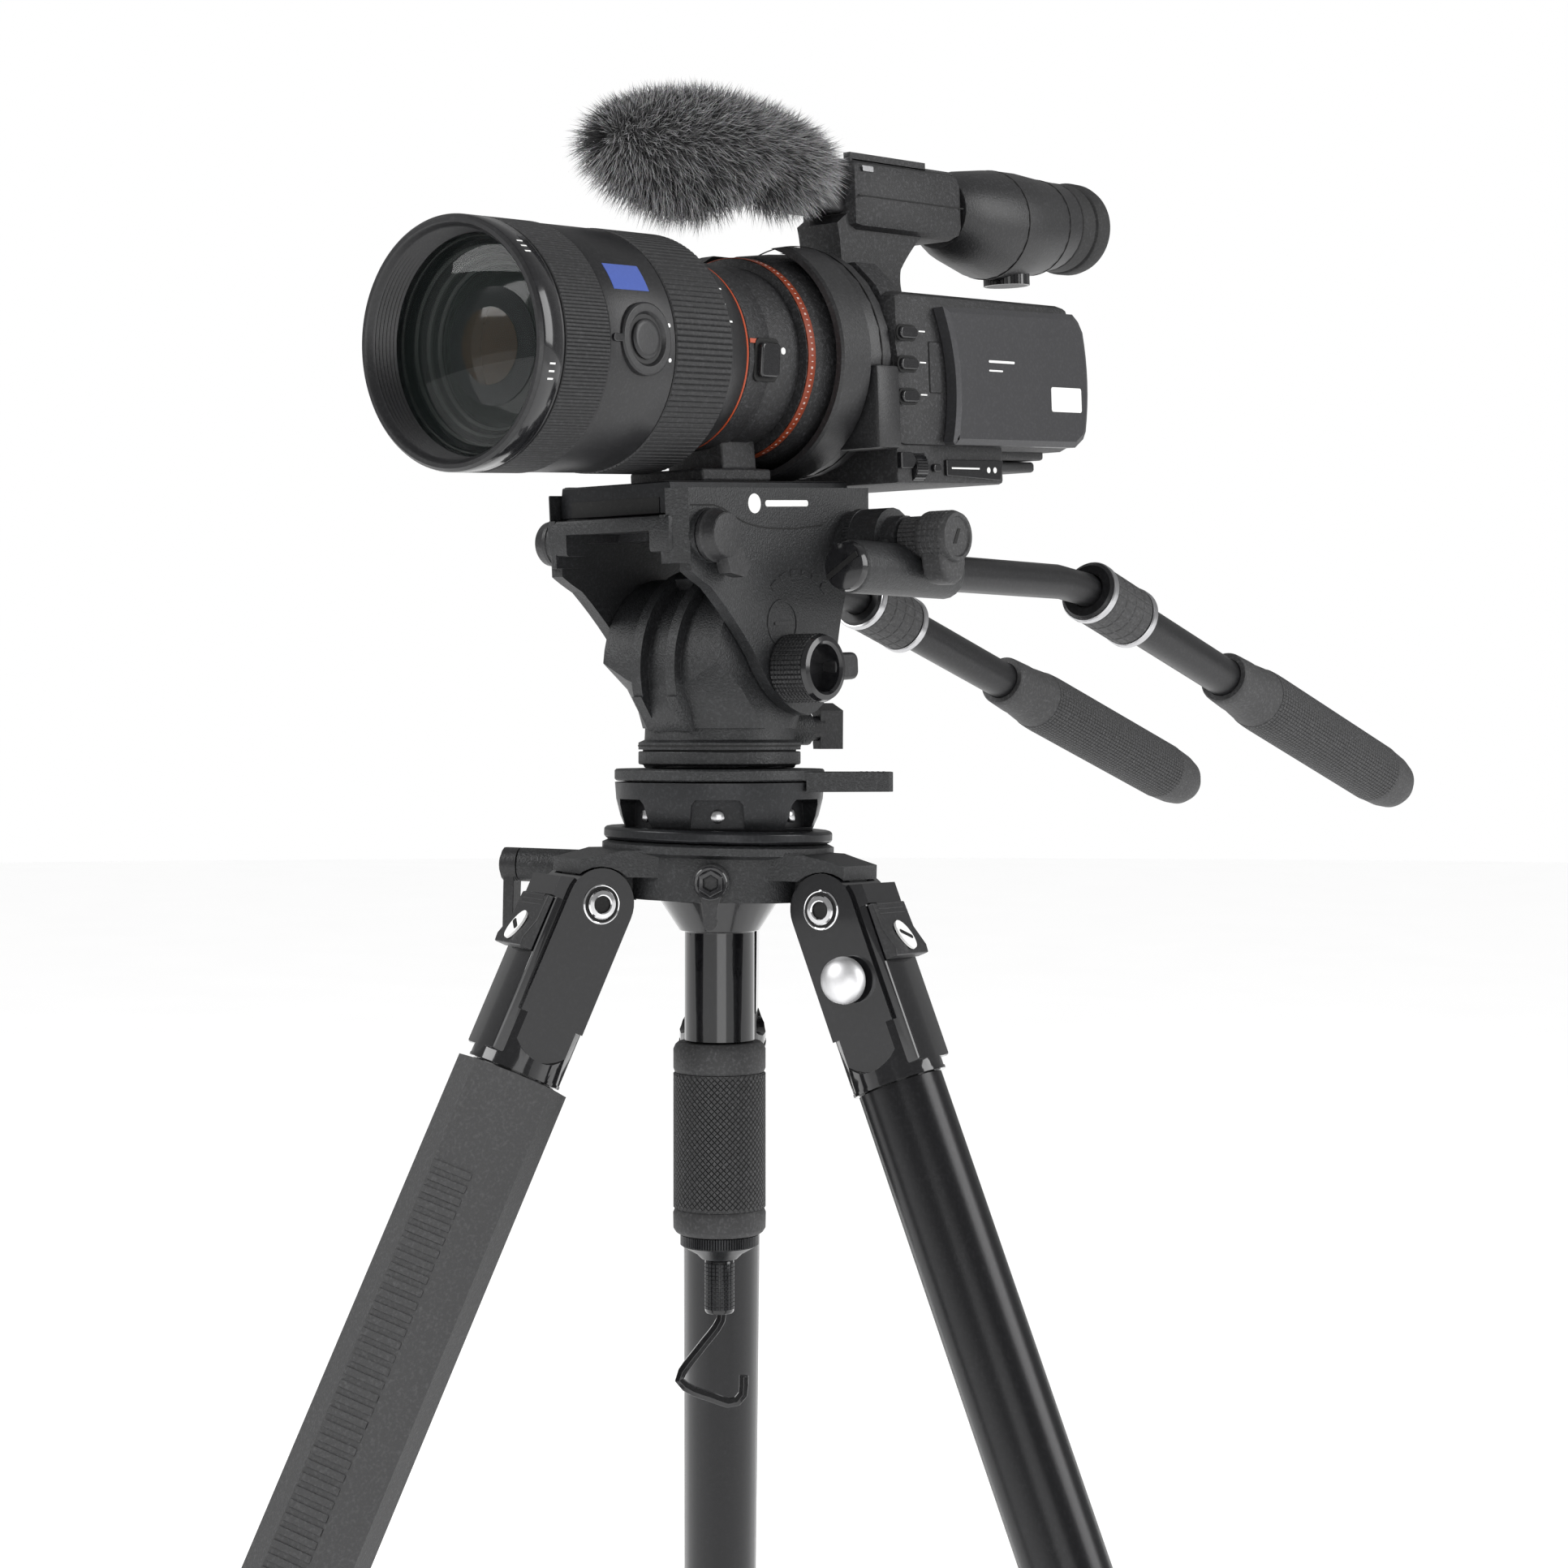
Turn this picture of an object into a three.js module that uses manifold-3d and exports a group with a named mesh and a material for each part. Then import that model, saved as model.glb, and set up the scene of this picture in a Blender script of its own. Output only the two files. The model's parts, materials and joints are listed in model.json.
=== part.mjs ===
// Interchangeable-lens camcorder on a two-handled video head and a three-legged stand.
// Millimetres, +Z up, the lens looks along -Y. The floor is z = 0 and the origin lies on the floor,
// under the middle of the whole object. The pan axis stands at (PAN_X, PAN_Y).

import * as THREE from 'three';
import { RoundedBoxGeometry } from 'three/addons/geometries/RoundedBoxGeometry.js';
import { mergeVertices } from 'three/addons/utils/BufferGeometryUtils.js';
import Module from 'manifold-3d';

const wasm = await Module();
wasm.setup();

// ---------------------------------------------------------------- driving dimensions

const PAN_X = -45.4;                // pan axis from the origin
const PAN_Y = -56.9;
const HINGE_PLANE_Z = 580.3;       // leg hinges above the floor
const BALL_Z = HINGE_PLANE_Z + 43; // centre of the 75 mm levelling half ball
const TILT_Z = HINGE_PLANE_Z + 82.7;
const STAND_ROLL = 1.43;           // degrees the stand leans, taken up by the half ball
const ROLL_AXIS = new THREE.Vector3(-0.6239, 0.7815, 0);
const NOSE_DOWN = 3.6;             // degrees the cradle is tilted forwards
const GAP = 0.3;                   // clearance between neighbouring pieces

const LEG_AZIMUTHS = [247.1, 7.1, 127.1];
const LEG_LEAN = 23.45;
const HINGE_RADIUS = 51.4;
const HINGE_DROP = BALL_Z - HINGE_PLANE_Z;
const CHEEK_R = 12.5;
const CHEEK_Y = 13.2;
const LUG_R = 10.5;
const LUG_Y = 6.5;
const SLEEVE_R = 16.5;
const BRACKET_END = 64;
const UPPER_R = 15;
const UPPER_BORE = 12.8;
const UPPER_END = 560;
const LOWER_R = 12.3;
const LOWER_BORE = 10.8;
const LOWER_START = 130;
const COLLAR_TOP = 546;
const COLLAR_END = 590;
const FOOT_TOP = 600;

const BALL_R = 37.5;
const DISC_R = 40.8;
const HUB_R = 38;
const COLUMN_R = 12.5;
const COLUMN_GRIP_R = 16.5;

const BASE_R = 29;
const DRUM_R = 33;
const DRUM_X = 26.2;
const CRADLE_X = 32;
const CRADLE_INNER_X = 27;
const CRADLE_TOP = 63.3;
const PLATE_TOP = 65.8;

const HANDLE_X = 55.6;             // pan handle rods either side of the pan axis
const HANDLE_PIVOT_Y = 39.7;
const HANDLE_PIVOT_Z = 44;
const ROD_DROP = 11.2;
const ROD_R = 6.6;
const ROD_BEND_Y = 110;
const ROD_SLOPE = 17;

const LENS_Y = 7;                  // camera frame: origin on the lens axis, x right, y back, z up
const LENS_Z = 110.8;
const BARREL_R = 41;
const ADAPTER_R = 33.2;
const BODY_X = 44.5;
const BODY_FRONT = 47;
const BODY_BACK = 164;
const BODY_TOP = 23.5;
const BODY_BOTTOM = -33.5;
const FINDER_START = 137.6;         // where the viewfinder's hinge closes on the handle
const FINDER_LENGTH = 78;
const FINDER_Z = 62.6;

// ---------------------------------------------------------------- solids and booleans

// Welds a closed geometry and hands it to the boolean library.
function solidOf(geometry) {
  const bare = geometry.clone();
  bare.deleteAttribute('normal');
  bare.deleteAttribute('uv');
  const welded = mergeVertices(bare, 1e-4);
  const position = welded.getAttribute('position');
  const index = welded.getIndex().array;
  const triangles = [];
  let volume = 0;
  const a = new THREE.Vector3();
  const b = new THREE.Vector3();
  const c = new THREE.Vector3();
  for (let i = 0; i < index.length; i += 3) {
    const [p, q, r] = [index[i], index[i + 1], index[i + 2]];
    if (p === q || q === r || r === p) continue;
    triangles.push(p, q, r);
    a.fromBufferAttribute(position, p);
    b.fromBufferAttribute(position, q);
    c.fromBufferAttribute(position, r);
    volume += a.dot(b.cross(c));
  }
  if (volume < 0) triangles.reverse();
  const mesh = new wasm.Mesh({
    numProp: 3,
    vertProperties: new Float32Array(position.array),
    triVerts: new Uint32Array(triangles),
  });
  return new wasm.Manifold(mesh);
}

// The geometry of a finished solid.
function geometryOf(solid) {
  const mesh = solid.getMesh();
  const geometry = new THREE.BufferGeometry();
  geometry.setAttribute('position', new THREE.BufferAttribute(new Float32Array(mesh.vertProperties), 3));
  geometry.setIndex(new THREE.BufferAttribute(new Uint32Array(mesh.triVerts), 1));
  geometry.computeVertexNormals();
  return geometry;
}

const isSolid = (thing) => !(thing instanceof THREE.BufferGeometry);
const asSolid = (thing) => (isSolid(thing) ? thing : solidOf(thing));
const join = (...things) => things.map(asSolid).reduce((sum, next) => sum.add(next));
const cut = (base, ...tools) => {
  const start = asSolid(base);
  return tools.map(asSolid).reduce((rest, tool) => rest.subtract(tool), start);
};
const common = (first, second) => asSolid(first).intersect(asSolid(second));

// ---------------------------------------------------------------- basic shapes

// A body of revolution about Z, from (radius, height) pairs that start and end on the axis or close.
function turned(profile, segments = 20) {
  const points = profile.map(([r, z]) => new THREE.Vector2(r, z));
  return new THREE.LatheGeometry(points, segments).rotateX(Math.PI / 2);
}

// The same with its axis along +Y, heights running back, or along +X.
const turnedY = (profile, segments) => turned(profile, segments).rotateX(-Math.PI / 2);
const turnedX = (profile, segments) => turned(profile, segments).rotateY(Math.PI / 2);

// A ring of revolution: the profile closes on itself.
const ring = (inner, outer, low, high) => [
  [inner, low], [outer, low], [outer, high], [inner, high], [inner, low],
];

const rod = (radius, low, high) => [[0, low], [radius, low], [radius, high], [0, high]];

// A rounded box given by its corners.
function block(low, high, radius = 0) {
  const size = high.map((value, i) => value - low[i]);
  const shape = radius > 0 ? new RoundedBoxGeometry(...size, 1, radius) : new THREE.BoxGeometry(...size);
  return shape.translate(...high.map((value, i) => (value + low[i]) / 2));
}

// A flat outline from points, or a ready THREE.Shape, given a thickness along Z.
function slab(points, thickness, curveSegments) {
  const isShape = points instanceof THREE.Shape;
  const shape = isShape ? points : new THREE.Shape(points.map(([a, b]) => new THREE.Vector2(a, b)));
  return new THREE.ExtrudeGeometry(shape, { depth: thickness, bevelEnabled: false, curveSegments });
}

const axes = (x, y, z) => new THREE.Matrix4().makeBasis(
  new THREE.Vector3(...x), new THREE.Vector3(...y), new THREE.Vector3(...z));

// Plates cut from an outline: across X the outline is (y, z), across Y it is (x, z), across Z (x, y).
function plateX(points, from, to, curveSegments = 7) {
  const turn = axes([0, 1, 0], [0, 0, 1], [1, 0, 0]);
  return slab(points, to - from, curveSegments).applyMatrix4(turn).translate(from, 0, 0);
}

function plateY(points, from, to, curveSegments = 7) {
  const turn = axes([1, 0, 0], [0, 0, 1], [0, -1, 0]);
  return slab(points, to - from, curveSegments).applyMatrix4(turn).translate(0, to, 0);
}

function plateZ(points, from, to, curveSegments = 7) {
  return slab(points, to - from, curveSegments).translate(0, 0, from);
}

// A round wire or rod along a curve.
function wire(path, radius, steps, sides) {
  const section = new THREE.Shape();
  section.absarc(0, 0, radius, 0, Math.PI * 2);
  return new THREE.ExtrudeGeometry(section, { steps, extrudePath: path, curveSegments: sides / 2 });
}

const radians = THREE.MathUtils.degToRad;

// A full circle, as an outline.
const circle = (x, y, radius) => new THREE.Shape().absarc(x, y, radius, 0, Math.PI * 2);

// ---------------------------------------------------------------- materials

function finish(color, roughness, metalness) {
  return new THREE.MeshStandardMaterial({ color, roughness, metalness });
}

const CAST_BLACK = finish(0x1b1c1e, 0.55, 0.6);
const GLOSS_BLACK = finish(0x101113, 0.3, 0.7);
const ANODISED = finish(0x15161a, 0.4, 0.8);
const RUBBER = finish(0x232426, 0.85, 0);
const PLASTIC = finish(0x1a1a1c, 0.6, 0);
const DARK_PLASTIC = finish(0x121214, 0.5, 0);
const SATIN_PANEL = finish(0x2c2c2f, 0.42, 0.2);
const STEEL = finish(0x9b9c9f, 0.35, 0.9);
const GLASS = finish(0x2a3331, 0.1, 0);
const FUR = finish(0x6d6d70, 0.95, 0);

// ---------------------------------------------------------------- scene graph

const part = new THREE.Group();
const rig = new THREE.Group();
rig.position.set(PAN_X, PAN_Y, 0);
part.add(rig);

function groupAt(parent, name, x, y, z) {
  const group = new THREE.Group();
  group.name = name;
  group.position.set(x, y, z);
  parent.add(group);
  return group;
}

function add(parent, name, shape, material) {
  const mesh = new THREE.Mesh(geometryOf(asSolid(shape)), material);
  mesh.name = name;
  parent.add(mesh);
  return mesh;
}

// ---------------------------------------------------------------- stand: spider and clamp disc

const stand = groupAt(rig, 'stand_frame', 0, 0, BALL_Z);
stand.quaternion.setFromAxisAngle(ROLL_AXIS.clone().normalize(), radians(STAND_ROLL));

const ARM_END = 59;
const ARM_BOTTOM = -33.6;
const LEVER_AZIMUTH = -52.9;       // small lock lever at the front of the hub
const BARREL_AZIMUTH = 205;        // lever barrel at the back of the hub
const BARREL_DROP = -32.4;

// One arm of the spider, pointing along +X: a tapering plate, its end pad and the hinge lug below it.
function spiderArm() {
  const plan = new THREE.Shape();
  plan.moveTo(12, -30);
  plan.quadraticCurveTo(36, -14, ARM_END, -11.5);
  plan.lineTo(ARM_END, 11.5);
  plan.quadraticCurveTo(36, 14, 12, 30);
  plan.closePath();
  const side = [[10, ARM_BOTTOM], [ARM_END, ARM_BOTTOM], [ARM_END, -27.7], [44, -24.4], [10, -24.4]];
  const plate = common(plateZ(plan, -40, -20), plateY(side, -40, 28));
  const lugEnd = HINGE_RADIUS + 6.5;
  const lugRound = plateY(circle(HINGE_RADIUS, -HINGE_DROP, LUG_R), -LUG_Y, LUG_Y);
  const lugBlock = block([HINGE_RADIUS - LUG_R - 6, -LUG_Y, -HINGE_DROP + 1], [lugEnd, LUG_Y, -28]);
  const cheekRoom = cut(
    plateY(circle(HINGE_RADIUS, -HINGE_DROP, CHEEK_R + 0.5), -40, 40, 12),
    block([20, -LUG_Y, -60], [lugEnd, LUG_Y, -20]));
  return cut(join(plate, lugRound, lugBlock), cheekRoom);
}

function spider() {
  const hub = turned([
    [26, -41.5], [HUB_R, -41.5], [HUB_R, -26.5], [41.5, -25.2], [41.5, -22.6], [39.5, -21.6],
    [34.2, -21.6], [34.2, -29.8], [22.5, -30.3], [22.5, -36.5], [26, -37], [26, -41.5],
  ], 20);
  const arm = spiderArm();
  const arms = LEG_AZIMUTHS.map((azimuth) => arm.rotate([0, 0, azimuth]));
  const bore = turned([[0, -60], [26, -60], [26, -37], [22.5, -36.5], [22.5, -30.3], [34.2, -29.8],
    [34.2, -10], [0, -10]], 20);
  const legRoom = LEG_AZIMUTHS.map((azimuth) => cut(
    block([36.5, -CHEEK_Y - 0.6, -60], [70, CHEEK_Y + 0.6, ARM_BOTTOM]),
    block([30, -LUG_Y, -70], [80, LUG_Y, -20])).rotate([0, 0, azimuth]));
  const barrel = turnedX(rod(6.2, 30, 73.6), 14).translate(0, 0, BARREL_DROP);
  const boss = turnedX(rod(6.6, 30, 41.5), 14).translate(0, 0, -34.4);
  const body = join(
    hub,
    ...arms,
    barrel.rotateZ(radians(BARREL_AZIMUTH)),
    boss.rotateZ(radians(LEVER_AZIMUTH)));
  return cut(body, bore, ...legRoom);
}

add(stand, 'spider', spider(), CAST_BLACK);
add(stand, 'clamp_disc', turned([
  [34.1, -21.3], [DISC_R - 1, -21.3], [DISC_R, -20.4], [DISC_R, -17.7], [DISC_R - 1, -16.8],
  [34.1, -16.8], [34.1, -21.3],
], 28), ANODISED);

// Small drop-shaped lever on the front boss.
function hubLever() {
  const drop = new THREE.Shape();
  drop.moveTo(-6.3, 0);
  drop.absarc(0, 0, 6.3, Math.PI, 0, true);
  drop.quadraticCurveTo(2, -6, 2.4, -12);
  drop.absarc(0, -13.6, 2.6, 0.6, -Math.PI - 0.6, true);
  drop.quadraticCurveTo(-2, -6, -6.3, 0);
  return cut(plateX(drop, 41.9, 45, 10), turnedX(rod(3, 44, 50), 6)).translate(0, 0, -34.4);
}

// Long lever hanging from the end of the rear barrel.
function barrelLever() {
  const arm = [[-4.5, 0], [4.5, 0], [4, -24], [2, -29], [-2, -29], [-4, -24]];
  return join(turnedX(rod(6.2, 74, 80), 14), plateX(arm, 75, 79)).translate(0, 0, BARREL_DROP);
}

const leverFrame = groupAt(stand, 'hub_lever_frame', 0, 0, 0);
leverFrame.rotation.z = radians(LEVER_AZIMUTH);
add(leverFrame, 'hub_lever', hubLever(), CAST_BLACK);

const barrelFrame = groupAt(stand, 'barrel_lever_frame', 0, 0, 0);
barrelFrame.rotation.z = radians(BARREL_AZIMUTH);
add(barrelFrame, 'column_clamp_lever', barrelLever(), CAST_BLACK);

// ---------------------------------------------------------------- legs

// Leg frame: origin on the hinge, the leg runs along -Z, +X faces outwards, the hinge lies along Y.
function legBracket() {
  const cheeks = new THREE.Shape();
  cheeks.moveTo(-CHEEK_R, -44);
  cheeks.lineTo(-CHEEK_R, 0);
  cheeks.absarc(0, 0, CHEEK_R, Math.PI, 0, true);
  cheeks.lineTo(CHEEK_R, -44);
  cheeks.closePath();
  const flat = new THREE.Shape();
  flat.moveTo(-30, 20);
  flat.lineTo(-30, -26);
  flat.lineTo(-CHEEK_R, -26);
  flat.lineTo(-CHEEK_R, -46);
  flat.absarc(0, -46, CHEEK_R, Math.PI, Math.PI * 2, false);
  flat.lineTo(CHEEK_R, -26);
  flat.lineTo(30, -26);
  flat.lineTo(30, 20);
  flat.closePath();
  const sleeve = cut(
    turned(rod(SLEEVE_R, -BRACKET_END, -24), 20),
    plateY(flat, CHEEK_Y, 30),
    plateY(flat, -30, -CHEEK_Y));
  const rail = block([6, -11.2, -BRACKET_END + 4], [16.2, 11.2, -3], 1);
  const stop = plateY([[9, -4], [17.6, -4], [17.6, 3], [12.4, 4.6], [10.9, 4.2], [9, 0]], -11.4, 11.4);
  const body = join(plateY(cheeks, -CHEEK_Y, CHEEK_Y, 10), sleeve, rail, stop);
  const slot = block([-30, -LUG_Y - 0.4, -14], [LUG_R + 0.4, LUG_Y + 0.4, 30]);
  const spigot = turned(rod(12.4, -84, -BRACKET_END + 1), 18);
  return join(cut(body, slot), spigot);
}

// Sliding tab that frees the leg angle, with a finger lip at its lower end.
function angleTab() {
  const side = [[16.6, -24.4], [21.4, -24.4], [21.6, -21.5], [19.2, -14], [18.8, -4.4], [16.6, -4.4]];
  return plateY(side, -11.2, 11.2);
}

function footShape(leg, soleDistance) {
  const boot = turned([
    [12.6, -FOOT_TOP], [15, -FOOT_TOP], [15.8, -FOOT_TOP - 2], [16.4, -soleDistance + 12],
    [15.4, -soleDistance + 3], [13, -soleDistance - 5], [0, -soleDistance - 8],
    [0, -FOOT_TOP - 16], [12.6, -FOOT_TOP - 16], [12.6, -FOOT_TOP],
  ], 20);
  const floor = block([-80, -80, -80], [80, 80, 0]);
  part.updateMatrixWorld(true);
  const footing = new THREE.Vector3(0, 0, -soleDistance).applyMatrix4(leg.matrixWorld);
  floor.translate(footing.x, footing.y, 0);
  floor.applyMatrix4(leg.matrixWorld.clone().invert());
  return cut(boot, floor);
}

function addLeg(azimuth, number) {
  const turn = groupAt(stand, `leg${number}_turn`, 0, 0, -HINGE_DROP);
  turn.rotation.z = radians(azimuth);
  const leg = groupAt(turn, `leg${number}_frame`, HINGE_RADIUS, 0, 0);
  leg.rotation.y = -radians(LEG_LEAN);
  part.updateMatrixWorld(true);
  const hinge = new THREE.Vector3().setFromMatrixPosition(leg.matrixWorld);
  const down = new THREE.Vector3(0, 0, -1).transformDirection(leg.matrixWorld);
  const soleDistance = hinge.z / -down.z;
  add(leg, `leg${number}_bracket`, legBracket(), GLOSS_BLACK);
  add(leg, `leg${number}_angle_tab`, angleTab(), CAST_BLACK);
  const upper = ring(UPPER_BORE, UPPER_R, -UPPER_END, -BRACKET_END - GAP);
  const lower = ring(LOWER_BORE, LOWER_R, -FOOT_TOP - 15.5, -LOWER_START);
  add(leg, `leg${number}_upper_tube`, turned(upper, 20), ANODISED);
  add(leg, `leg${number}_collar`, turned([
    [12.7, -COLLAR_END], [16.4, -COLLAR_END], [18.6, -COLLAR_END + 3], [18.8, -COLLAR_TOP - 8],
    [17.2, -COLLAR_TOP], [15.3, -COLLAR_TOP], [15.3, -UPPER_END - GAP], [12.7, -UPPER_END - GAP - 0.4],
    [12.7, -COLLAR_END],
  ], 20), RUBBER);
  add(leg, `leg${number}_lower_tube`, turned(lower, 20), ANODISED);
  add(leg, `leg${number}_foot`, footShape(leg, soleDistance), RUBBER);
  return leg;
}

const legs = LEG_AZIMUTHS.map((azimuth, i) => addLeg(azimuth, i + 1));

// Moulded carrying grip on the first leg: an eight-sided sleeve.
function legGrip() {
  const section = new THREE.Shape();
  const flat = 18.4;
  const corner = 7.6;
  section.moveTo(-corner, -flat);
  section.lineTo(corner, -flat);
  section.lineTo(flat, -corner);
  section.lineTo(flat, corner);
  section.lineTo(corner, flat);
  section.lineTo(-corner, flat);
  section.lineTo(-flat, corner);
  section.lineTo(-flat, -corner);
  section.closePath();
  return cut(plateZ(section, -312, -BRACKET_END - 1), turned(rod(UPPER_R + GAP, -320, -60), 20));
}

add(legs[0], 'leg_grip', legGrip(), RUBBER);

// ---------------------------------------------------------------- levelling half ball and column

const level = groupAt(rig, 'level_frame', 0, 0, BALL_Z);

function levellingBall() {
  const profile = [[0, -29.9], [22.6, -29.9]];
  const lowest = -29.9;
  for (let i = 1; i <= 5; i += 1) {
    const z = lowest * (1 - i / 5);
    profile.push([Math.sqrt(BALL_R ** 2 - z ** 2) - 0.1, z - 0.3]);
  }
  profile.push([0, -0.3]);
  const ball = solidOf(turned(profile, 28));
  const window = [[-9.5, -16.2], [9.5, -16.2], [9, -8], [7.6, -6.2], [-7.6, -6.2], [-9, -8]];
  const pocket = plateX(window, 29, 45);
  const pockets = [0, 1, 2, 3, 4, 5].map((i) => pocket.clone().rotateZ(radians(-51.4 + 60 * i)));
  return cut(ball, ...pockets);
}

add(level, 'levelling_half_ball', levellingBall(), ANODISED);
add(level, 'level_washer', turned(ring(15.9, 19, -39.8, -38.8), 20), STEEL);

// Centre column: the stud through the hub, the clamp cone under it and the short tube.
add(level, 'centre_column', turned([
  [0, -150], [8, -150], [8, -92.6], [COLUMN_R, -92.6], [COLUMN_R, -53.6], [14.2, -53.3], [21.3, -42.4],
  [21.3, -41.6], [COLUMN_R, -41.6], [COLUMN_R, -30.2], [0, -30.2],
], 26), GLOSS_BLACK);

add(level, 'column_grip', turned([
  [3.4, -158], [3.4, -170.4], [6.4, -170.4], [8, -168.6], [14, -165.8], [14, -161.9], [15.4, -161.6],
  [COLUMN_GRIP_R, -159.5], [COLUMN_GRIP_R, -95.4], [15, -92.9], [8.4, -92.9], [8.4, -158], [3.4, -158],
], 20), RUBBER);

// Bag hook: knurled stem and bent wire, its plane across the hub lever's azimuth.
function bagHook() {
  const stem = turned([[0, -190], [4.8, -190], [5.2, -189.2], [5.2, -171.4], [4.8, -170.7], [3.1, -170.7],
    [3.1, -159], [0, -159]], 16);
  const points = [
    [0.6, -186], [0.6, -192.3], [-6.6, -202.4], [-13.4, -211.4], [-14.3, -214.2],
    [-10.6, -217.4], [-2.6, -220.3], [4.6, -222.4], [8.2, -219.6], [8.7, -212.6],
  ].map(([x, z]) => new THREE.Vector3(x, 0, z));
  const path = new THREE.CatmullRomCurve3(points, false, 'centripetal');
  return join(stem, wire(path, 1.9, 20, 6));
}

const hookFrame = groupAt(level, 'hook_frame', 0, 0, 0);
hookFrame.rotation.z = radians(38.6);
add(hookFrame, 'bag_hook', bagHook(), STEEL);

// ---------------------------------------------------------------- head base

// Locking plate on the half ball with its side lever.
function leverPlate() {
  const plate = turned([
    [0, 0.2], [BALL_R - 0.6, 0.2], [BALL_R, 0.8], [BALL_R, 3.8], [BALL_R - 0.6, 4.4], [0, 4.4],
  ], 28);
  const arm = new THREE.Shape();
  arm.moveTo(0, -24);
  arm.lineTo(26, -23);
  arm.quadraticCurveTo(46, -20, 60, -17.5);
  arm.lineTo(61.5, -15);
  arm.lineTo(61, -5);
  arm.quadraticCurveTo(50, -2, 36, -2);
  arm.lineTo(0, -2);
  arm.closePath();
  const inner = common(plateZ(arm, 0.4, 3.4), turned(rod(BALL_R + 1.4, -1, 6), 28));
  const outer = cut(plateZ(arm, -3.6, 3.4), turned(rod(BALL_R + 0.7, -10, 10), 28));
  return join(plate, inner, outer);
}

const leverPlateFrame = groupAt(level, 'lever_plate_frame', 0, 0, 0);
leverPlateFrame.rotation.z = radians(38.6);
add(leverPlateFrame, 'lever_plate', leverPlate(), CAST_BLACK);
add(level, 'pan_base', turned([
  [0, 4.7], [27, 4.7], [27, 5.7], [BASE_R, 6], [BASE_R, 10.6], [0, 10.6],
], 28), CAST_BLACK);

const head = groupAt(rig, 'head_frame', 0, 0, TILT_Z);

const PAN_LOCK_AZIMUTH = 62;
const PAN_LOCK_Z = -21;

// Head body: tilt drum with its raised front rib, flowing down into the round base.
function headBody() {
  const drum = new THREE.Shape();
  drum.moveTo(-27, -21);
  drum.lineTo(-31, -11);
  drum.absarc(0, 0, DRUM_R, Math.PI + 0.34, -0.34, true);
  drum.lineTo(27, -21);
  drum.closePath();
  const neck = turned([
    [0, -28.5], [BASE_R, -28.5], [BASE_R, -26], [26.8, -25], [26.5, -18], [26, -8], [24, 0], [0, 4],
  ], 28);
  const rib = new THREE.Shape();
  rib.moveTo(-27, -22);
  rib.lineTo(-36, -10);
  rib.absarc(0, 0, DRUM_R + 3.4, Math.PI + 0.28, Math.PI * 0.56, true);
  rib.lineTo(0, 10);
  rib.lineTo(0, -22);
  rib.closePath();
  const recess = new THREE.Shape();
  recess.moveTo(-50, -19);
  recess.lineTo(-30, -19);
  recess.lineTo(-DRUM_R + 1, -8);
  recess.absarc(0, 0, DRUM_R - 1, Math.PI + 0.2, Math.PI * 0.66, true);
  recess.lineTo(-30, 50);
  recess.lineTo(-50, 50);
  recess.closePath();
  const shaft = turnedX(rod(9, -31, 31), 18);
  const lockBoss = turnedX(rod(6, 12, 34.6), 16)
    .rotateZ(radians(PAN_LOCK_AZIMUTH))
    .translate(0, 0, PAN_LOCK_Z);
  const flare = turned([
    [0, -30], [27.4, -30], [27.4, -21], [29, -15], [33, -7], [44, 4], [48, 60], [0, 60],
  ], 28);
  const cheeks = common(plateX(drum, -DRUM_X, DRUM_X, 14), flare);
  const drumBody = join(cheeks, neck, plateX(rib, -10, 10, 10));
  return join(cut(drumBody, plateX(recess, -5.6, 5.6, 8)), shaft, lockBoss);
}

add(head, 'head_body', headBody(), CAST_BLACK);

const panLockFrame = groupAt(head, 'pan_lock_frame', 0, 0, PAN_LOCK_Z);
panLockFrame.rotation.z = radians(PAN_LOCK_AZIMUTH);

// Wing screw that locks the pan turn.
function panLock() {
  const wing = new THREE.Shape();
  wing.moveTo(-3.4, -7.4);
  wing.lineTo(3, -7.4);
  wing.quadraticCurveTo(4.6, 0, 3.6, 4.6);
  wing.lineTo(7.4, 7.2);
  wing.lineTo(5.6, 9.4);
  wing.lineTo(-3.6, 6.6);
  wing.closePath();
  return join(turnedX(rod(4.6, 35, 40), 14), plateX(wing, 38, 47));
}

add(panLockFrame, 'pan_lock', panLock(), PLASTIC);

// ---------------------------------------------------------------- cradle

const tilt = groupAt(head, 'tilt_frame', 0, 0, 0);
tilt.rotation.x = radians(NOSE_DOWN);

function cradleSide() {
  const side = new THREE.Shape();
  side.moveTo(-55, CRADLE_TOP);
  side.lineTo(50, CRADLE_TOP);
  side.lineTo(49.4, 51);
  side.quadraticCurveTo(43, 48, 38.6, 34.5);
  side.quadraticCurveTo(30, 18, 27.6, 4);
  side.quadraticCurveTo(25, -14, 10, -17);
  side.quadraticCurveTo(-8, -14, -18, 5);
  side.quadraticCurveTo(-28, 18, -41, 29.5);
  side.quadraticCurveTo(-50, 34, -55, 38);
  side.closePath();
  return side;
}

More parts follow.
